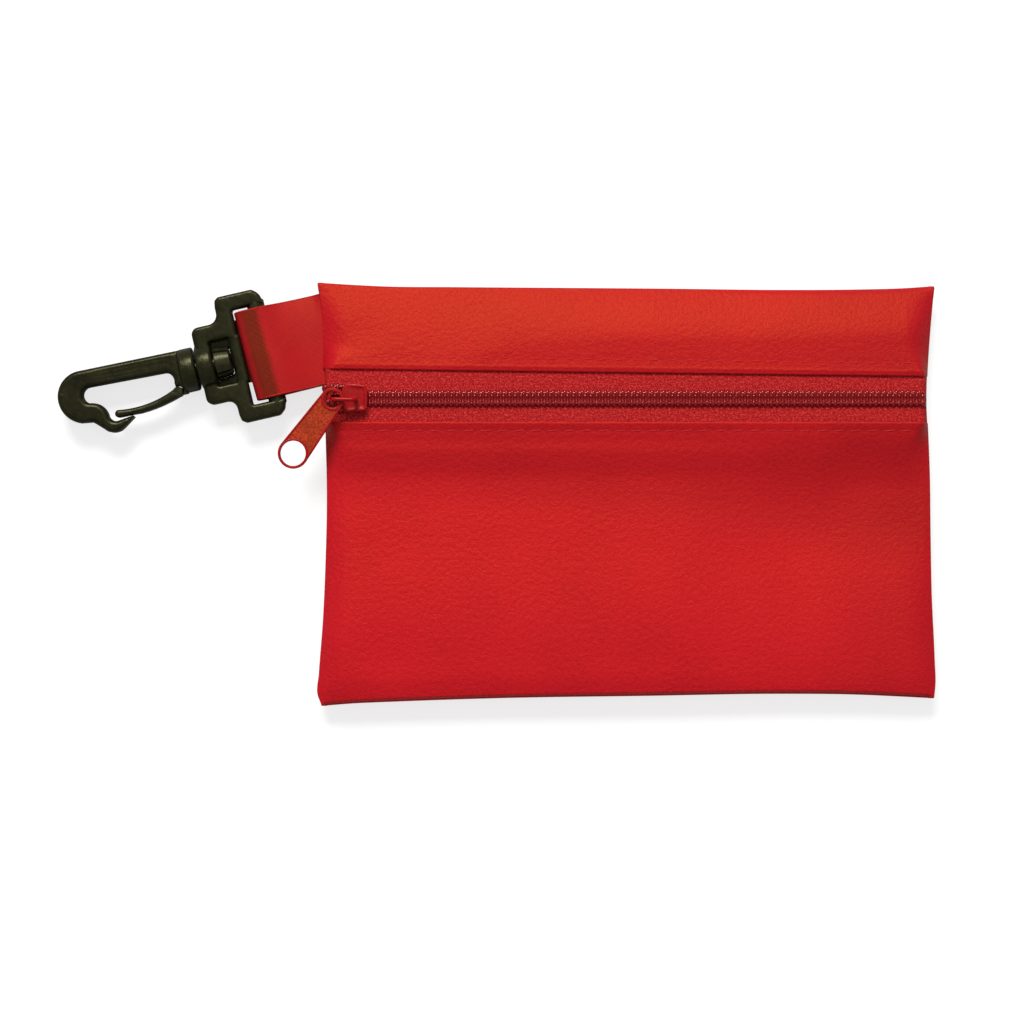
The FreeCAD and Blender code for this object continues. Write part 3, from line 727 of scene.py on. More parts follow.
# Where the pouch's four sides run, as the cloth pulls them out of straight.
left_edge = spline([(-1, -0.6), (-.95, .4), (-.85, .1), (-.6, -.9), (-.3, -1.6), (0, -1.9), (.2, -1.7),
                    (.42, -1.2), (.52, -.7), (.7, -1.0), (.85, -.7), (1, .5)])
right_edge = spline([(-1, -.5), (-.94, -.2), (-.8, -.4), (-.5, -1.1), (-.2, -1.4), (.1, -1.6), (.3, -2.0),
                     (.42, -2.3), (.56, -2.2), (.7, -1.8), (.85, -1.2), (.95, -.7), (1, -.4)])
top_edge = spline([(-1, .7), (-.9, .2), (-.78, -.25), (-.57, -.4), (-.2, -.6), (.14, -.8), (.5, -1.1),
                   (.75, -1.0), (.9, -.7), (1, -.2)])
bottom_edge = spline([(-1, 1.7), (-.9, 1.1), (-.78, .7), (-.43, -.2), (.07, -.8), (.5, -1.3),
                      (.75, -1.1), (.9, -.6), (1, -.2)])


def left_of(v):
    return -(half_length + left_edge(v))


def right_of(v):
    return half_length + right_edge(v)


def top_of(u):
    return half_width + top_edge(u)


def bottom_of(u):
    return -(half_width + bottom_edge(u))


def upper_hem_of(u):
    """Edge of the upper panel, which runs slightly down to the right."""
    return zip_y + 7.35 - 0.95 * u


wave_seeds = np.random.default_rng(7).uniform(0, 2 * math.pi, 24)


def waves(x, y, length, rows, seed):
    """Sum of a few slow waves in different directions, between about -1 and 1."""
    total = 0
    for k in range(rows):
        heading = wave_seeds[(seed + 3 * k) % 24]
        shift = wave_seeds[(seed + 3 * k + 1) % 24]
        size = length * (0.7 + 0.25 * k)
        total = total + np.sin(2 * math.pi * (x * math.cos(heading) + y * math.sin(heading)) / size + shift)
    return total / rows


def bell(value, centre, width):
    return np.exp(-((value - centre) / width) ** 2)


stitch_pitch = 4.17
seam_back = 2.15            # stitch row, from the hem's edge
hem_roll = 1.1              # the upper hem rolls over this far past its crest


def pucker(x, y, row_y):
    """Cloth drawn down at the needle holes of a stitch row, and puffed up beside them."""
    holes = 0.5 + 0.5 * np.cos(2 * math.pi * x / stitch_pitch)
    return -0.05 * bell(y, row_y, 0.5) * (0.3 + 0.7 * holes) + 0.03 * bell(y, row_y, 1.6) * (1 - holes)


# Height of the lower panel below its pillow shape: down its middle, right of it, and near its right side.
sag_middle = spline([(-52, -3.0), (-50, -2.45), (-49, -2.2), (-48, -1.98), (-47, -1.79), (-46, -1.66),
                     (-45, -1.57), (-42, -1.42), (-35, -1.15), (-25, -1.3), (-10, -2.15), (0, -2.5), (4, -2.3),
                     (8, -1.5), (10.5, -1.04), (12.5, -.95), (15, -.55), (17.5, 0), (18.5, 0)])
sag_rows = (-52, -50, -48, -46, -42, -34, -24, -14, -8, -2, 2, 5.7, 9.3, 12, 15, 17.5, 18.5)
sag_beside = spline(zip(sag_rows, (-3.4, -2.9, -2.5, -2.3, -2.1, -2.2, -2.9, -3.8, -4.1, -3.95, -3.4, -2.55,
                                   -1.55, -.95, -.4, 0, 0)))
sag_right = spline(zip(sag_rows, (-3.4, -2.9, -2.55, -2.35, -2.2, -2.3, -2.9, -3.8, -4.25, -4.35, -4.2, -3.45,
                                  -2.35, -1.45, -.6, 0, 0)))


def lower_relief(x, y):
    """Folds of the lower panel, above its pillow shape."""
    below = lower_hem - y
    beside, right = smooth((x - 8) / 36), smooth((x - 46) / 13)
    sag = sag_middle(y) * (1 - beside) + (sag_beside(y) * (1 - right) + sag_right(y) * right) * beside
    hem = 0.07 * bell(below, 0, 0.5) - 0.04 * bell(below, seam_back, 0.9)
    corner = -0.5 * bell(x, -60, 6) * bell(y, -40, 9)
    low = 0.14 * waves(x, y, 62, 4, 1) + 0.06 * waves(x, y, 26, 4, 9)
    return hem + sag + corner + low * smooth(below / 8) + pucker(x, y, lower_hem - seam_back)


def upper_relief(x, y, hem_y):
    """Folds of the upper panel, above its pillow shape; past its crest the hem rolls over."""
    above = y - hem_y
    hem = 0.11 * bell(above, 0.1, 0.28) - 0.03 * bell(above, seam_back, 0.8) - 0.13 * smooth(-above / hem_roll)
    crease = x * 0.62 + y * 0.78
    corner = -0.6 * bell(crease, -16.5, 3.2) * smooth((-50 - x) / 14) * smooth((y - 33) / 4)
    left = -0.5 * smooth((-56 - x) / 12) * bell(y, 39.5, 4)
    right = -0.1 * smooth((x - 60) / 10) * bell(y, 38, 5)
    low = 0.12 * waves(x, y, 58, 4, 5) + 0.05 * waves(x, y, 24, 4, 13)
    return hem + corner + right + left + low * smooth(above / 6) + pucker(x, y, hem_y + seam_back)


side_turn = 0.24            # radius of the cloth's turn into a side seam
fold_turn = 0.5             # radius of its turn at the top and bottom folds
steep = math.radians(75)    # a panel's last row lies this far round the turn
fold_inset = fold_turn * (1 - math.cos(steep))
hem_back = 4.2              # width of the hem's turned-back cloth
fold_angles = np.radians([58, 38, 18, 0])
seam_rise = 0.2             # of the sewn edge over the seam's plane


def columns(low, high, step=0.75):
    """Columns of a panel from u = low to high: (u, inset of a turned-in edge or None, its height)."""
    turn = [(1.25, seam_rise), (0.7, seam_rise), (side_turn, seam_rise)]
    turn += [(side_turn - side_turn * math.cos(a), seam_rise + side_turn + side_turn * math.sin(a))
             for a in np.radians([-55, -20, 15, 48])]
    values = spread(-1, 1, step / half_length, 0.25 / half_length, 6 / half_length)
    kept = values[(values > low + 1e-3) & (values < high - 1e-3)]
    made = [(-1.0, inset, rise) for inset, rise in turn] if low == -1 else []
    made += [(u, None, None) for u in (low, *kept, high)]
    if high == 1:
        made += [(1.0, inset, rise) for inset, rise in reversed(turn)]
    return made


def spread(low, high, step, fine, reach):
    """Values from low to high, fine within reach of both ends."""
    values = [low]
    while values[-1] < high - 1e-9:
        gap = min(values[-1] - low, high - values[-1])
        values.append(values[-1] + fine + (step - fine) * smooth(gap / reach))
    values[-1] = high
    return np.array(values)


def panel_grid(cols, start_of, end_of, rows, height, sign):
    """Grid of the middle of the cloth, between the places y = start_of(u) and end_of(u).

    height(x, y, d_side, edge_rise, d_fold) is the surface's height above the seam. d_side and d_fold are the
    distances from the nearer side and the nearer fold; the front panels work out their own fold's.
    """
    grid = []
    edge_in = side_turn * (1 - math.cos(steep))
    edge_rise = seam_rise + side_turn * (1 + math.sin(steep))
    for u, inset, rise in cols:
        start, end = start_of(u), end_of(u)
        y = start + (end - start) * rows
        v = 2 * (y - bottom_of(u)) / (top_of(u) - bottom_of(u)) - 1
        left, right = left_of(v), right_of(v)
        if inset is None:
            x = left + edge_in + (right - left - 2 * edge_in) * (u + 1) / 2
            d_side = np.minimum(x - left, right - x) - edge_in
            d_fold = np.minimum(top_of(u) - y, y - bottom_of(u)) - fold_inset
            z = height(x, y, d_side, edge_rise, d_fold)
        else:
            x = left + inset if u < 0 else right - inset
            z = np.full_like(y, rise)
        grid.append(np.stack([x, y, seam_z + sign * z], axis=1))
    return np.array(grid)


def fold_rows(grid, outward, angles):
    """Rows round a fold of the cloth, from the panel's last row; outward is +1 on the top fold."""
    last = grid[:, 0] if outward < 0 else grid[:, -1]
    made = []
    for angle in angles:
        row = last.copy()
        row[:, 1] += outward * fold_turn * (math.cos(angle) - math.cos(steep))
        row[:, 2] = seam_z + (last[:, 2] - seam_z) * math.sin(angle) / math.sin(steep)
        made.append(row)
    return np.array(made).transpose(1, 0, 2)


def hem_rows(grid, toward):
    """Rows round a hem's turned edge and back under it, along the panel; toward is +1 where it faces +Y."""
    normal = normals(grid)
    edge = -1 if toward > 0 else 0
    last, up = grid[:, edge], normal[:, edge]
    ahead = np.cross(up, (1.0, 0, 0)) * toward
    ahead *= np.sign(ahead[:, 1:2]) * toward / np.maximum(np.linalg.norm(ahead, axis=1, keepdims=True), 1e-9)
    made = [last + ahead * fold * math.cos(angle) + up * fold * (math.sin(angle) - 1)
            for angle in np.radians([60, 30, 0, -30, -60, -90])]
    for back in (0.4, 0.8, 1.2, 1.7, 2.3, 3.0, hem_back):
        y = last[:, 1] - toward * back
        made.append(np.array([[np.interp(at, line[:, 1], line[:, k] - 2 * fold * out[:, k]) for k in range(3)]
                              for at, line, out in zip(y, grid, normal)]))
    return np.array(made).transpose(1, 0, 2)


front_crown = front_z - cloth / 2 - seam_z
fold_gap = 0.37             # what the fold's turn takes from the front panels' width
end_reach = 7.4             # how far from its sides the pouch reaches its full height, except beside the zip
far_off = 30.0              # a distance from the side seams at which they have no effect
edge_height = 0.67          # of a panel's edge in its side seam, over the seam's plane
upper_reach = spline([(-78, 17), (-65, 21), (-52, 22), (-30, 15.5), (-5, 13), (18, 12.6), (43, 12.2),
                      (58, 11.6), (78, 12.5)])


def pillow(reach, d_side, d_fold, edge_rise, fold_reach, fold_power, crown):
    """Height of a full panel, and its share of the crown: 0 at its edges, 1 in its middle."""
    inner = rounding(d_side, reach, 2.4) * rounding(d_fold, fold_reach, fold_power)
    start = fold_turn * math.sin(steep)
    start = start + (edge_rise - start) * np.exp(-np.maximum(d_side, 0) / 1.2)
    return start + (crown - start) * inner, inner


def front_reach(y):
    return end_reach - 6.2 * np.exp(-((y - zip_y) / 10.0) ** 4)


def lower_height(x, y, d_side, edge_rise, _=None):
    d_low = y - bottom_of(x / half_length) - fold_gap
    z, inner = pillow(front_reach(y), d_side, d_low, edge_rise, 0.6, 2.0, front_crown)
    return z + lower_relief(x, y) * inner


def upper_height(x, y, d_side, edge_rise, _=None):
    u = x / half_length
    d_top = np.maximum(top_of(u) - y - fold_gap, 0)
    z, inner = pillow(front_reach(y), d_side, d_top, edge_rise, upper_reach(x), 1.6, front_crown - 0.28)
    edge = 0.3 * smooth((x - 10) / 35) * d_top / 0.9 * np.exp(1 - d_top / 0.9) * rounding(d_side, 3, 2)
    return z + upper_relief(x, y, upper_hem_of(u)) * inner + edge


def back_height(x, y, d_side, edge_rise, d_fold):
    z, inner = pillow(end_reach, d_side, d_fold, edge_rise, 12, 2.5, seam_z - cloth / 2)
    creases = 0.45 * (0.5 + 0.5 * waves(x, y, 48, 4, 3)) * inner * (1 - inner ** 6 * 0.75)
    return z - creases


# ---- build ------------------------------------------------------------------------

camera()
stage()

red_cloth = cloth_material()
lining = lining_material()
tape_weave = tape_material()
filament = coil_material()
thread = thread_material()
satin = ribbon_material()
red_enamel = enamel_material("red_enamel", deep=(0.29, 0.0035, 0.0070), bright=(0.46, 0.0080, 0.0115),
                             worn=(0.36, 0.013, 0.009), wear=0.25, grain_size=2600)
orange_enamel = enamel_material("orange_enamel", deep=(0.27, 0.018, 0.005), bright=(0.60, 0.062, 0.017),
                                worn=(0.30, 0.034, 0.008), wear=0.6, grain_size=2800)
plastic = plastic_material()


def lower_fold_of(u):
    return bottom_of(u) + fold_inset


def upper_fold_of(u):
    return top_of(u) - fold_inset


def panel(name, grid):
    build = Build()
    thick_sheet(build, grid, cloth, inside=1)
    return build.make(name, [red_cloth, lining])


def front_lower():
    grid = panel_grid(columns(-1, 1), lower_fold_of, lambda u: lower_hem - cloth / 2 - fold,
                      spread(0, 1, step=0.011, fine=0.0022, reach=0.11), lower_height, 1)
    edge = fold_rows(grid, -1, np.radians([-4, 18, 38, 58]))
    piece = panel("front_lower_cloth", np.concatenate([edge, grid, hem_rows(grid, 1)], axis=1))
    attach(piece, "pouch")
    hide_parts("front_lower_panel")
    return piece


def front_upper(side):
    grid = panel_grid(columns(min(side, 0), max(side, 0)),
                      lambda u: upper_hem_of(u) - hem_roll + cloth / 2 + fold, upper_fold_of,
                      spread(0, 1, step=0.032, fine=0.009, reach=0.16), upper_height, 1)
    edge = fold_rows(grid, 1, [*fold_angles, *np.radians([-18, -36, -54])])
    edge[:, :, 1] += 0.03       # just outside the back's fold
    grid = np.concatenate([hem_rows(grid, -1)[:, ::-1], grid, edge], axis=1)
    return panel("front_upper_cloth_" + SIDE[side], grid)


def back():
    grid = panel_grid(columns(-1, 1, step=1.3), lower_fold_of, upper_fold_of,
                      spread(0, 1, step=0.014, fine=0.005, reach=0.12), back_height, -1)
    low = fold_rows(grid, -1, np.radians([4, 18, 38, 58]))
    high = fold_rows(grid, 1, fold_angles)
    piece = panel("back_cloth", np.concatenate([low, grid, high], axis=1)[::-1])
    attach(piece, "pouch")
    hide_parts("back_panel")
    return piece


def opens(piece):
    """Bakes the piece's placement into its mesh. The piece belongs to the mouth flap, which lifts in the middle
    and stays sewn at its side seam.
    """
    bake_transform(piece)


lower_cloth = front_lower()
back_cloth = back()
upper_cloth = {}
for side in (-1, 1):
    upper_cloth[side] = front_upper(side)
    opens(upper_cloth[side])
    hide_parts("front_upper_panel")

# ---- zip ---------------------------------------------------------------------------

bends = ((1, 72.3, 1.6), (-1, -73.5, 1.4))      # side, where the zip bends down into its seam, and the radius
tape_thickness = 0.42
tape_mid = tape_top - 0.24
tape_gap = 0.85                                 # from the zip's middle to a tape's inner edge
coil_pitch = 1.44
strand = 0.27                                   # radius
strand_flat = 1.34                              # the strand is this much wider than high
cord, cord_flat = 0.29, 1.3                     # radius of a coil's inner cord, and how much wider it is
seam_thread = 0.085                             # radius of the thread that sews a coil to its tape
thread_radius = 0.12                            # of the sewing thread in hems and seams


def zip_name(kind, row, x_low):
    """The upper row of the zip comes in two halves."""
    return ROW[row] + kind + ("" if row < 0 else "_left" if x_low < -10 else "_right")


def bent(points):
    """Bends the ends of the zip round a quarter circle, down into the side seams."""
    out = points.copy()
    for side, start, r in bends:
        centre = tape_mid - r
        past = side * (points[..., 0] - start)
        angle = np.clip(past / r, 0, math.pi / 2)
        extra = np.maximum(past - r * math.pi / 2, 0)
        rise = points[..., 2] - centre
        on = past > 0
        out[..., 0] = np.where(on, start + side * rise * np.sin(angle), out[..., 0])
        out[..., 2] = np.where(on, centre + rise * np.cos(angle) - extra, out[..., 2])
    return out


def zip_tape(row, x_low, x_high):
    """One tape: straight between the hems, closed to its fellow at its ends, sunk under the upper hem."""
    outer = upper_hem_of(0) + 3.2 if row > 0 else lower_hem - 3.4
    xs = np.arange(0, 1.0001, 1 / int((x_high - x_low) / 0.5)) * (x_high - x_low) + x_low
    x, y = np.meshgrid(xs, np.linspace(zip_y + row * tape_gap, outer, 16), indexing="ij")
    closing = smooth((np.abs(x) - bends[0][1] - 0.6) / 1.2)
    y = y - row * 0.8 * closing * np.clip(1 - (np.abs(y - zip_y) - tape_gap) / 2.5, 0, 1)
    hem_y = np.where(row > 0, upper_hem_of(x / half_length) - 0.8, lower_hem + 0.2)
    covered = smooth(row * (y - hem_y) / 0.9)
    z = tape_mid + 0.05 * waves(x, y, 14, 3, 2) * smooth((np.abs(y - zip_y) - 2) / 2)
    z = z - 0.3 * covered * (row > 0)
    grid = bent(np.stack([x, y, z], axis=2))
    bottom, top = bottom_of(x / half_length), top_of(x / half_length)
    v = 2 * (grid[:, :, 1] - bottom) / (top - bottom) - 1
    x_in, y_in = grid[:, :, 0], grid[:, :, 1]
    to_side = np.minimum(x_in - left_of(v), right_of(v) - x_in) - side_turn
    cover = (upper_height if row > 0 else lower_height)(x_in, y_in, np.maximum(to_side, 0), edge_height)
    under = seam_z + cover - cloth - 2 * fold - 0.25
    z = grid[:, :, 2]
    grid[:, :, 2] = np.where(under < z, z + (under - z) * covered, z)
    if row < 0:
        grid = grid[:, ::-1]
    build = Build()
    thick_sheet(build, grid, tape_thickness, along=x, across=grid[:, :, 1])
    return build.make(zip_name("_tape", row, x_low), [tape_weave])


def coil(row, x_low, x_high):
    """One coil: a strand that turns back at the spine and widens at each head, with the cords through it."""
    low, high = coil_low + strand, coil_high - 0.28 - strand
    mid = (low + high) / 2
    # Each turn of the strand: distance from the zip's middle, height, share of the pitch, radius.
    if row > 0:
        crown = [(1.64, high - .12, .04, .37), (1.34, high - .09, .05, .36), (1.0, high - .05, .05, .32),
                 (.55, high - .17, .05, .27), (.05, high - .34, .05, .25), (-.35, high - .44, .05, .28),
                 (-.60, high - .48, .05, .33)]
    else:
        crown = [(1.64, high - .15, .04, .36), (1.34, high - .20, .05, .34), (1.0, high - .26, .05, .30),
                 (.60, high - .32, .05, .27), (.22, high - .37, .05, .25), (-.12, high - .30, .05, .27),
                 (-.38, high - .04, .05, .34), (-.63, high - .07, .04, .39), (-.79, mid + .1, .03, .33)]
    turn = [(1.42, low, 0.0, strand), (1.66, low + .12, .02, strand), (1.76, mid, .03, .30), *crown,
            (-.70, low + .12, .05, .33), (-.40, low + .02, .05, .29), (.4, low, .45, strand)]
    shift = 0 if row > 0 else coil_pitch / 2
    first = math.ceil(x_low / coil_pitch)
    path, radii = [], []
    for n in range(first, first + int((x_high - x_low) / coil_pitch)):
        for y, z, along, radius in turn:
            path.append((n * coil_pitch + shift + along * coil_pitch, zip_y + row * y, z))
            radii.append(radius)
    build = Build()
    tube(build, np.array(path) / (strand_flat, 1, 1), radii, 8)
    build.points[0] = build.points[0] * (strand_flat, 1, 1)
    xs = np.arange(x_low + 0.3, x_high - (1.3 if x_high > 1 else 0.2), coil_pitch / 6)
    swing = np.cos(2 * math.pi * (xs - shift - 0.05 * coil_pitch) / coil_pitch)
    tube(build, np.stack([xs, np.full_like(xs, 0.0), mid + 0.12 + 0.04 * swing], axis=1), cord, 10)
    build.points[1] = build.points[1] * (1, cord_flat, 1) + (0, zip_y + row * 1.22, 0)
    rise = high + strand - 0.10 + 0.14 * swing
    tube(build, np.stack([xs, np.full_like(xs, zip_y + row * 1.12), rise], axis=1), seam_thread, 6)

    def warp(points):
        """The coils part at the slider, and their ends bend down."""
        out = points.copy()
        x = points[:, 0]
        out[:, 1] += row * (1.6 * smooth((-66.2 - x) / 5.0) - 0.5 * smooth((-73 - x) / 3.0))
        return bent(out)

    return build.make(zip_name("_coil_strand", row, x_low), [filament], sharp=60, warp=warp)


zip_end, zip_stop = 75.3, 74.3                  # how far the coils reach, left and right of the middle
tape_end = 76.9
lower_tape = zip_tape(-1, -tape_end - 0.4, tape_end)
for piece, node, slot in ((lower_tape, "lower_zip_tape", "zip_tape"),
                          (coil(-1, -zip_end, zip_stop), "lower_coil", "zip_coil")):
    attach(piece, "pouch")
    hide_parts(node)
upper_tape = {}
for side in (-1, 1):
    upper_tape[side] = zip_tape(1, *((-tape_end - 0.4, 0.0) if side < 0 else (0.0, tape_end)))
    upper_strand = coil(1, *((-zip_end, 0.0) if side < 0 else (0.0, zip_stop)))
    for piece, node, slot in ((upper_tape[side], "upper_zip_tape", "zip_tape"),
                              (upper_strand, "upper_coil", "zip_coil")):
        opens(piece)
        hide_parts(node)

stitch_rows = 33            # stitches from end to end
needle_half, needle_sink = 1.55, 0.16


def stitches(row, x_low, x_high, name):
    """Row of long stitches, each thread sunk at its needle holes."""
    build = Build()
    height = lower_height if row < 0 else upper_height
    for n in range(stitch_rows):
        middle = (n - (stitch_rows - 1) / 2) * stitch_pitch + stitch_pitch / 2
        if not x_low <= middle < x_high:
            continue
        t = np.linspace(-1, 1, 9)
        x = middle + needle_half * t
        row_y = lower_hem - seam_back if row < 0 else upper_hem_of(x / half_length) + seam_back
        y = row_y + 0.17 * t + np.zeros_like(x)
        z = seam_z + height(x, y, np.full_like(x, far_off), edge_height)
        z = z + cloth / 2 + 0.02 - needle_sink * t ** 4
        tube(build, np.stack([x, y, z], axis=1), thread_radius * np.sqrt(1.03 - 0.75 * t ** 6), 7)
    return build.make(name, [thread])


lower_stitches = stitches(-1, -99, 99, "lower_stitches")
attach(lower_stitches, "pouch")
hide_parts("lower_hem_stitching")
for side in (-1, 1):
    made = stitches(1, min(99 * side, 0), max(99 * side, 0), "upper_stitches_" + SIDE[side])
    opens(made)
    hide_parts("upper_hem_stitching")


def allowance(side):
    """Overlocked cloth edges inside one side seam."""
    def inward(v, d):
        return left_of(v) + d if side < 0 else right_of(v) - d

    vs = np.linspace(-0.92, 0.92, 140)
    grid = []
    for d in (0.6, 1.6, 2.7, 3.7, 4.7):
        y = vs * half_width
        grid.append(np.stack([inward(vs, d), y, seam_z + 0.07 * np.sin(y / 4.1) * (d - 0.6) / 4], axis=1))
    build = Build()
    thick_sheet(build, np.array(grid[::-side]), 0.62)
    ts = np.arange(0, 1, 1 / 420)
    loops = np.interp(ts, np.linspace(0, 1, 140), vs)
    swing = np.sin(2 * math.pi * ts * 84)
    overlock = [inward(loops, 3.5 + 1.3 * swing), loops * half_width, seam_z + 0.36 - 0.1 * np.abs(swing)]
    tube(build, np.stack(overlock, axis=1), thread_radius, 6, slot=1)
    piece = build.make(SIDE[side] + "_seam_edges", [red_cloth, thread])
    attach(piece, "pouch")
    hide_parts(SIDE[side] + "_seam_allowance")
    return piece


seam_edges = {side: allowance(side) for side in (-1, 1)}

# ---- slider and pull tab --------------------------------------------------------------

slider_high = high_of("zip_slider")
slider_half = 3.35
slider_x = slider_high[0] - slider_half
plate_bottom = coil_high + 0.25
plate_top = plate_bottom + 0.7
upper_plate_half, lower_plate_half = 0.42, 0.35     # of their thickness
lower_plate = tape_top - 0.5 - 0.25 - lower_plate_half
eye_at = joint("tab_lift")[0]
bail_r, bail_y = 0.55, eye_at[1] - zip_y
bail_top = slider_high[2] - bail_r


def slider_outline():
    nose, tail, wide, narrow, cut = -slider_half, slider_half, slider_high[1] - zip_y, 3.15, 0.7
    return drawn((tail, -narrow + cut), [
        (tail, narrow - cut), (tail - cut, narrow), (nose + 1.5, wide), ((nose, 0), (nose + 1.5, -wide)),
        (tail - cut, -narrow), (tail, -narrow + cut)], 16)


def slider_face(d, p, q):
    """The top plate's face: a low field inside a rim that fades out beside the bail."""
    rim = smooth((p + 1.5) / 2.0) * smooth((q + 3.0 if p > 2 else 1.0) / 0.5) + smooth((-1.2 - q) / 1.0)
    return round_edge(0.3)(d) + 0.22 * min(1.0, rim) * smooth((d - 0.55) / 0.3) + 0.12 * (1 - min(1.0, rim))


def slider():
    """Two plates joined by a wedge at the nose, with rails down both sides and the bail on top."""
    build = Build()
    outline = slider_outline()
    moulded(build, [outline], upper_plate_half, slider_face, [0.1, 0.3, 0.55, 0.7, 0.85], step=0.25, inner=0.5,
            z=plate_bottom + 0.38)
    moulded(build, [outline], lower_plate_half, round_edge(0.25), [0.1, 0.25], step=0.3, inner=0.8,
            z=lower_plate)
    wedge = drawn((-3.05, -.6), [(-1.15, 0), (-3.05, .6), (-3.05, -.6)])
    moulded(build, [wedge], (plate_bottom - lower_plate) / 2, round_edge(0), [0.1], step=0.3, inner=0.5,
            z=(plate_bottom + lower_plate) / 2)
    rail_half = (plate_bottom - tape_top - 0.25) / 2 + 0.1
    for side in (-1, 1):
        y0, y1 = sorted((side * 2.4, side * 3.0))
        rail = rounded([(-.85, y0, .15), (2.45, y0, .15), (2.45, y1, .15), (-.85, y1, .15)])
        moulded(build, [rail], rail_half, round_edge(0.12), [0.06, 0.12], step=0.3, inner=0.5,
                z=plate_bottom + 0.1 - rail_half)
    near = eye_at[0] - slider_x
    far = near + 5.6
    foot = plate_top - 0.45
    corner = 0.85
    path = [(-2.6, bail_y, foot)]
    for (x, z), (dx, dz), (ex, ez) in (((near, foot), (1, 0), (0, 1)), ((near, bail_top), (0, -1), (1, 0)),
                                       ((far, bail_top), (-1, 0), (0, -1))):
        for a in np.radians([0, 22, 45, 68, 90]):
            px = x + dx * corner * (1 - math.sin(a)) + ex * corner * (1 - math.cos(a))
            pz = z + dz * corner * (1 - math.sin(a)) + ez * corner * (1 - math.cos(a))
            path.append((px, bail_y, pz))
        if (x, z) == (near, bail_top):
            path += [(near + (far - near) * t, bail_y, bail_top) for t in (0.35, 0.5, 0.65)]
    path.append((far, bail_y, foot - 0.15))
    tube(build, path, bail_r, 16)
    piece = build.make("slider", [red_enamel], matrix=turned(0, (slider_x, zip_y, 0)))
    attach(piece, "slider")
    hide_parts("zip_slider")
    return piece


tab_reach = 16.4            # from the eye to the finger hole
eye_radius, finger_radius = 2.0, 3.1
tab_face_half, tab_rim_half = 0.25, 0.45            # of their thickness


def tab_outline(grow):
    """Round at both ends, grown or shrunk from the tab's outline."""
    near, far = 2.95 + grow, 3.8 + grow
    lean = (far - near) / tab_reach
    cosine = math.sqrt(1 - lean * lean)
    a, b = (-near * lean, near * cosine), (tab_reach - far * lean, far * cosine)
    return drawn((a[0], -a[1]), [(b[0], -b[1]), ((tab_reach + far, 0), b), a, ((-near, 0), (a[0], -a[1]))], 28)


def tab():
    """Cast tab: a grainy face inside a raised rim, with rims round both holes."""
    build = Build()
    holes = ((0, eye_radius, 0.85), (tab_reach, finger_radius, 0.66))
    moulded(build, [tab_outline(-0.3)] + [circle(x, 0, r) for x, r, wide in holes], tab_face_half,
            round_edge(0), [0.15, 0.4], step=0.4, inner=0.7)
    moulded(build, [tab_outline(0), tab_outline(-0.55)], tab_rim_half, round_edge(0.24), [0.08, 0.18, 0.27],
            step=0.3, inner=5, slot=1)
    for x, r, wide in holes:
        moulded(build, [circle(x, 0, r + wide), circle(x, 0, r)], tab_rim_half, round_edge(0.28),
                [0.08, 0.2, 0.33], step=0.3, inner=5, slot=1)
    hole = next(m for m in frame["record"]["mounts"] if m["name"] == "pull_tab_hole")
    to_hole = np.array(hole["pos_m"]) / MM - eye_at
    piece = build.make("tab", [orange_enamel, red_enamel], sharp=35,
                       matrix=turned(math.atan2(to_hole[1], to_hole[0]), eye_at))
    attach(piece, "tab")
    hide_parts("pull_tab")
    return piece


slider()
tab()

# ---- ribbon and clip ----------------------------------------------------------------------

bar_at = joint("clip_tilt")[0]
swivel_axis = joint("hook_swivel")[1]
clip_heading = math.atan2(swivel_axis[1], swivel_axis[0])
clip_ahead = np.array([math.cos(clip_heading), math.sin(clip_heading), 0])
bar_x, bar_r = 2.4, 2.2
clip_origin = bar_at - clip_ahead * bar_x
clip_place = turned(clip_heading, clip_origin)
ribbon_width, ribbon_thick, ribbon_edge = 22.0, 0.5, 0.30       # the last is the radius of its woven edges


def ribbon():
    """The ribbon goes out over the bar, round it and back under, into the side seam."""
    closed_at = -9.3
    rise = bar_r + 0.4 + 0.3
    ahead = np.linspace(0, 1, 60)
    turn = np.radians(np.linspace(80, -80, 15))
    lines, along = [], []
    across = np.linspace(-1, 1, 41) * ribbon_width / 2
    for q in across:
        crest = bar_x + (2.2 - 0.035 * q + 0.16 * math.exp(-(q / 6.5) ** 4))
        seam_v = (clip_origin[1] + math.cos(clip_heading) * q + 13 * 0.225) / half_width
        start = (left_of(seam_v) + 0.9 - clip_origin[0] + math.sin(clip_heading) * q) / clip_ahead[0]
        p = start + (crest - start) * ahead
        lift = 0.30 + (rise - 0.30) * smooth((p - closed_at) / (bar_x - closed_at))
        bend = np.stack([crest + rise * np.cos(turn), rise * np.sin(turn)], axis=1)
        line = np.concatenate([np.stack([p, lift], axis=1), bend, np.stack([p, -lift], axis=1)[::-1]])
        x = line[:, 0].copy()
        line[:, 1] += 0.10 * np.sin(x * 0.5 + q * 0.12) * smooth((x + 12) / 6) * smooth((3 - x) / 4)
        bow = max(0.0, (-q - 1.0) / 10) ** 2 * smooth((1.0 - x) / 5) * smooth((x - start) / 3)
        line[:, 1] -= 1.1 * bow
        lines.append(np.column_stack([x, np.full(len(line), q), line[:, 1]]))
        run = np.cumsum(np.linalg.norm(np.diff(line, axis=0, prepend=line[:1]), axis=1))
        along.append(run - np.interp(crest - 0.75, x[:60], run[:60]))
    grid = np.array(lines).transpose(1, 0, 2)
    along = np.array(along).T
    build = Build()
    thick_sheet(build, grid, ribbon_thick, along=along, across=np.broadcast_to(across, along.shape))
    for edge in (0, -1):
        tube(build, grid[::2, edge], ribbon_edge, 6)
    piece = build.make("ribbon_loop", [satin], sharp=60, matrix=clip_place)
    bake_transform(piece)
    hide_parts("strap_loop")
    return piece


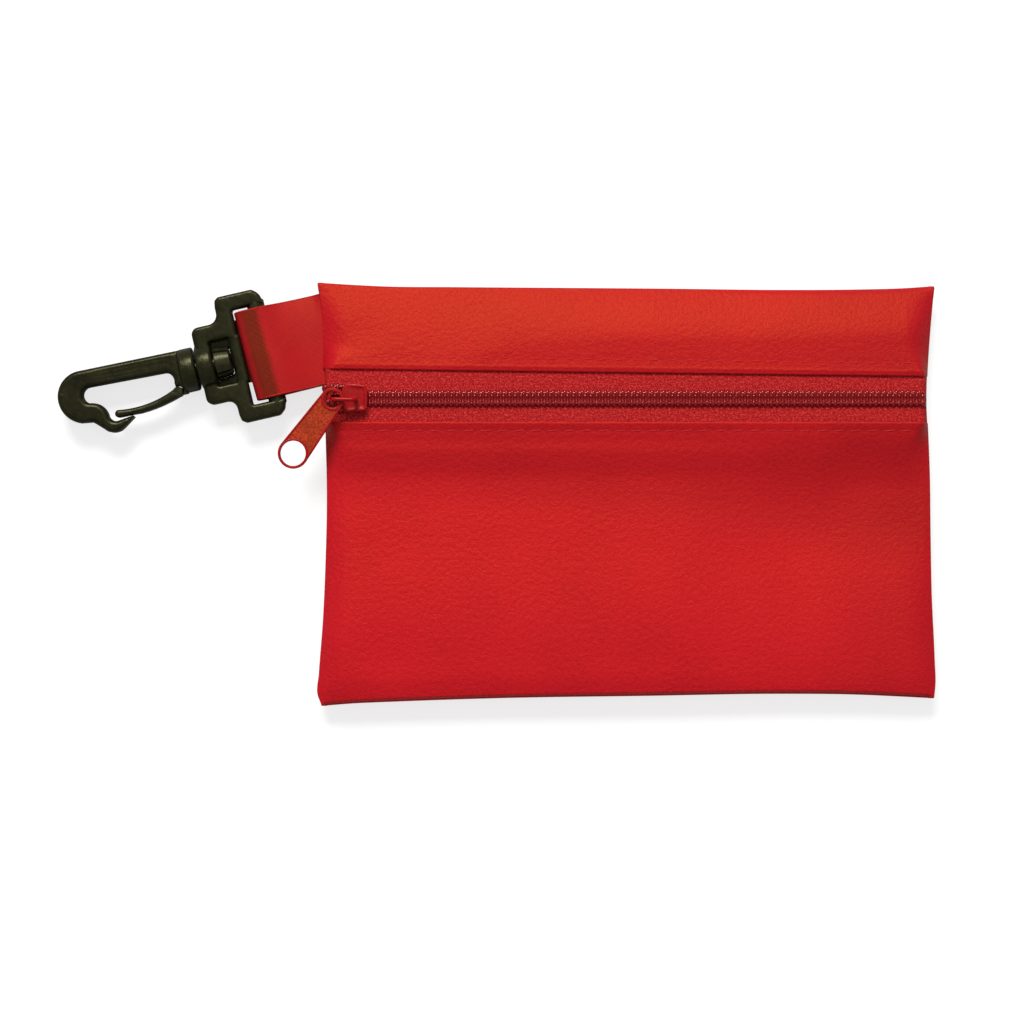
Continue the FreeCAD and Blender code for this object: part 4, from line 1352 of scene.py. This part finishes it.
def spine_profile(edge):
    """Rounded edge, with two fine ridges along the outer side of the hook's spine."""
    rounded_edge = round_edge(edge)

    def drop(d, p, q):
        along = smooth((p - 25.5) / 2.0) * smooth((47.0 - p) / 6.0) * smooth((-1.5 - q) / 1.0)
        groove = 0.11 * bell(d, 1.3, 0.26) + 0.09 * bell(d, 2.15, 0.34)
        return rounded_edge(d) + float(groove * along)
    return drop


frame_half, hook_half = 2.2, 2.6        # half of the mouldings' thickness
shade_plate_half = 0.45                         # half thickness of the dark plates on the underside, in the window and beside the slot: painted shade
barrel_r = 5.5
petals, petal_sweep = 4, math.radians(76)


def clip_base():
    """Strap frame, yoke and ring: the ribbon's slot, and the window with the swivel's head."""
    build = Build()
    outline = rounded(
        mirrored([(.31, 12.1, .2), (.55, 13.2, .4), (1.1, 14.8, 1.6), (2.5, 16, 1.2), (11.1, 16, .9),
                  (12.1, 15.3, .9), (12.4, 13.6, 1.0), (12.4, 9.8, 2.4), (19.5, 9.8, 1.8)])
        + mirrored([(8.5, -12.1, .6), (8.5, -6.0, .2), (8.05, -5.75, .25)]))
    window = rounded(mirrored([(10.8, 5.6, .5), (15.8, 5.6, .5)]))
    moulded(build, [outline, window], frame_half, round_edge(0.8), [0.1, 0.22, 0.45, 0.8], step=0.35,
            inner=1.0)
    # Dark plates on the frame's underside, round the head in the window and beside the ribbon's slot, stand
    # where the floor lies in the clip's shadow: painted shade.
    border = rounded(mirrored([(10.3, 6.1, .5), (16.3, 6.1, .5)]))
    head_hole = rounded(mirrored([(11.36, 2.95, .1), (11.62, 3.38, .1), (14.95, 3.88, .2), (15.42, 3.8, .2)]))
    shade_infill = rounded([(7.45, 6.3, .4), (8.6, 6.3, .1), (8.6, -9.7, .1), (7.45, -9.7, .4)])
    for shade_plate in ([border, head_hole], [shade_infill]):
        moulded(build, shade_plate, shade_plate_half, round_edge(0.35), [0.12, 0.35], step=0.35, inner=0.8,
                z=shade_plate_half - frame_half)
    bar = [(-13.2, 0.01), (-13.2, 2.0)] + [(-13 + 26 * t, bar_r) for t in (0, .2, .4, .6, .8, 1)]
    lathe(build, bar + [(13.2, 2.0), (13.2, 0.01)], 36, axis=1, centre=(bar_x, 0, 0))
    r = barrel_r
    ring = [(15.8, 2.55), (15.8, 4.9), (15.95, 5.3), (16.2, r - .06), (16.5, r), (19.3, r), (19.5, r - .06),
            (19.68, r - .3), (19.75, r - .55), (19.75, 2.9), (19.6, 2.6), (19.3, 2.55), (15.8, 2.55)]
    lathe(build, ring, 64)
    piece = build.make("clip_frame", [plastic], sharp=38, matrix=clip_place)
    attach(piece, "clip_base")
    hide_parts("swivel_base")
    return piece


def hook_outline():
    return drawn((23.55, -5.3), [
        (49.3, -5.9), ((54.106, -3.472), (55.5, 0)), ((54.68, 3.8775), (51.4, 6.85)), (48.2, 7.35),
        ((46.6, 8.85), (45.2, 10.3)), ((43.3, 11.05), (41.2, 10.55)), (37.9, 8.4), (38.2, 7.9), (41.6, 8.3),
        ((43.3, 8.0), (44.1, 6.9)), ((44.7, 4.6), (46.2, 3.05)), (47.3, 2.65), ((49.3, .65), (47.3, -1.35)),
        (28.6, -.6), ((26.6, .325), (26.3, 2.35)), (26.24, 3.342), ((24.52, 4.42), (24.872, 5.65)),
        (23.55, 5.65), (23.55, -5.3)], 14)


def gate_outline():
    return drawn((25.401, 5.8375), [
        ((31.275, 7.35), (36.2, 7.86)), (37.6, 7.76), (41.525, 7.66), ((42.45, 6.7), (41.525, 5.75)),
        ((34.575, 5.95), (26.775, 3.825)), (25.401, 5.8375)], 14)


def hook():
    """Hook, collar and post, with the four petals of the barbed head."""
    build = Build()
    moulded(build, [hook_outline()], hook_half, spine_profile(1.1),
            [0.08, 0.2, 0.42, 0.75, 1.1, 1.3, 1.6, 1.9, 2.2], step=0.3, inner=1.0)
    collar = [(20.25, 0.01), (20.25, 4.9), (20.35, 5.25), (20.6, 5.45), (20.9, barrel_r), (23.4, barrel_r),
              (23.75, 5.42), (24.0, 5.15), (24.05, 4.8), (24.05, 0.01)]
    lathe(build, collar, 64)
    lathe(build, [(14.6, 2.3), (20.4, 2.3)], 40)
    petal = [(11.4, 0.35), (11.4, 3.1), (11.65, 3.5), (14.95, 4.0), (15.2, 3.98), (15.3, 3.75), (15.3, 2.2)]
    for k in range(petals):
        start = math.radians(45 + 90 * k + 7)
        lathe(build, petal, 14, start=start, sweep=petal_sweep)
        for angle, order in ((start, 1), (start + petal_sweep, -1)):
            build.add([(p, r * math.cos(angle), r * math.sin(angle)) for p, r in petal],
                      [tuple(range(len(petal)))[::order]])
    piece = build.make("hook", [plastic], sharp=38, matrix=clip_place)
    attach(piece, "hook")
    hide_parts("snap_hook")
    return piece


def gate():
    build = Build()
    moulded(build, [gate_outline()], frame_half, round_edge(0.8), [0.08, 0.2, 0.45, 0.8], step=0.3, inner=1.0)
    knuckle = [(-2.2, 0.01), (-2.2, 1.05), (-2.0, 1.25), (2.0, 1.25), (2.2, 1.05), (2.2, 0.01)]
    lathe(build, knuckle, 28, axis=2, centre=(25.9, 4.7, 0))
    piece = build.make("gate", [plastic], sharp=38, matrix=clip_place)
    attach(piece, "gate")
    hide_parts("hook_gate")
    return piece


ribbon_loop = ribbon()
clip_base()
hook()
gate()

# ---- contents -------------------------------------------------------------------------------

packet_step = 0.8           # of its grid


def packet(node, material, slot, border, ends_only, teeth, seed):
    """Flat sealed packet: pressed border, soft fill between; teeth is the pitch of its cut ends, or 0."""
    low, high = low_of(node), high_of(node)
    size = high - low
    x0, y0, middle = (low + high) / 2
    nx, ny = int(size[0] / packet_step), int(size[1] / packet_step)
    a, b = np.meshgrid(np.linspace(-1, 1, nx), np.linspace(-1, 1, ny), indexing="ij")
    dx, dy = (1 - np.abs(a)) * size[0] / 2, (1 - np.abs(b)) * size[1] / 2
    inward = dx if ends_only else np.minimum(dx, dy)
    fill = smooth((inward - border) / 2.5)
    side = rounding(dy, 3.0, 2.0) if ends_only else 1.0
    x, y = x0 + a * size[0] / 2, y0 + b * size[1] / 2
    if teeth:
        x = x - np.sign(a) * (np.abs((y / teeth) % 1 - 0.5) * 0.5 * (np.abs(a) > 0.999))
    swell = 0.16 + (size[2] / 2 - 0.17) * fill * side * (0.86 + 0.14 * waves(x, y, 13, 3, seed))
    sides = [np.stack([x, y, middle + way * swell], axis=2).reshape(-1, 3) for way in (1, -1)]
    upper, lower, rim = shell_faces(nx, ny)
    build = Build()
    build.add(np.concatenate(sides), upper + lower + rim)
    piece = build.make(node + "_packet", [material], sharp=50)
    seal = piece.data.attributes.new("seal", "FLOAT", "POINT")
    pressed = (1 - smooth((inward - border + 1) / 1.2)).ravel()
    seal.data.foreach_set("value", np.tile(pressed, 2).astype(np.float32))
    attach(piece, "pouch")
    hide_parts(node)
    return piece


# Wrapper: its light, dark and sealed colours, roughness, metal share and the direction of its crimped lines.
wrappers = {name: packet_material(name, *look) for name, look in {
    "bandage_wrapper": ((0.82, 0.80, 0.75), (0.70, 0.67, 0.61), (0.76, 0.62, 0.46), 0.62, 0.0, "u"),
    "wipe_sachet": ((0.72, 0.73, 0.74), (0.52, 0.54, 0.56), (0.66, 0.68, 0.70), 0.34, 0.85, "v"),
    "gauze_wrapper": ((0.84, 0.85, 0.85), (0.72, 0.74, 0.75), (0.45, 0.58, 0.72), 0.6, 0.0, "v"),
    "ointment_sachet": ((0.74, 0.72, 0.66), (0.60, 0.58, 0.52), (0.55, 0.66, 0.50), 0.36, 0.5, "u")}.items()}
# Packet: its wrapper, border, whether only its ends are sealed, its teeth and its waves' first seed.
packets = {"bandage": ("bandage_wrapper", 5.0, True, 0, 0),
           "antiseptic_wipe": ("wipe_sachet", 4.0, False, 1.4, 3),
           "gauze_pad": ("gauze_wrapper", 4.5, False, 0, 6),
           "ointment_sachet": ("ointment_sachet", 4.0, False, 1.2, 9)}
for node, n in ([("bandage", n) for n in range(5)] + [("antiseptic_wipe", n) for n in range(4)]
                + [(node, n) for n in range(2) for node in ("gauze_pad", "ointment_sachet")]):
    wrapper, *shape, seed = packets[node]
    packet("%s_%d" % (node, n + 1), wrappers[wrapper], wrapper, *shape, n + seed)

# ---- view transform ------------------------------------------------------------------------------

bpy.context.scene.view_settings.view_transform = "Standard"
bpy.context.view_layer.update()
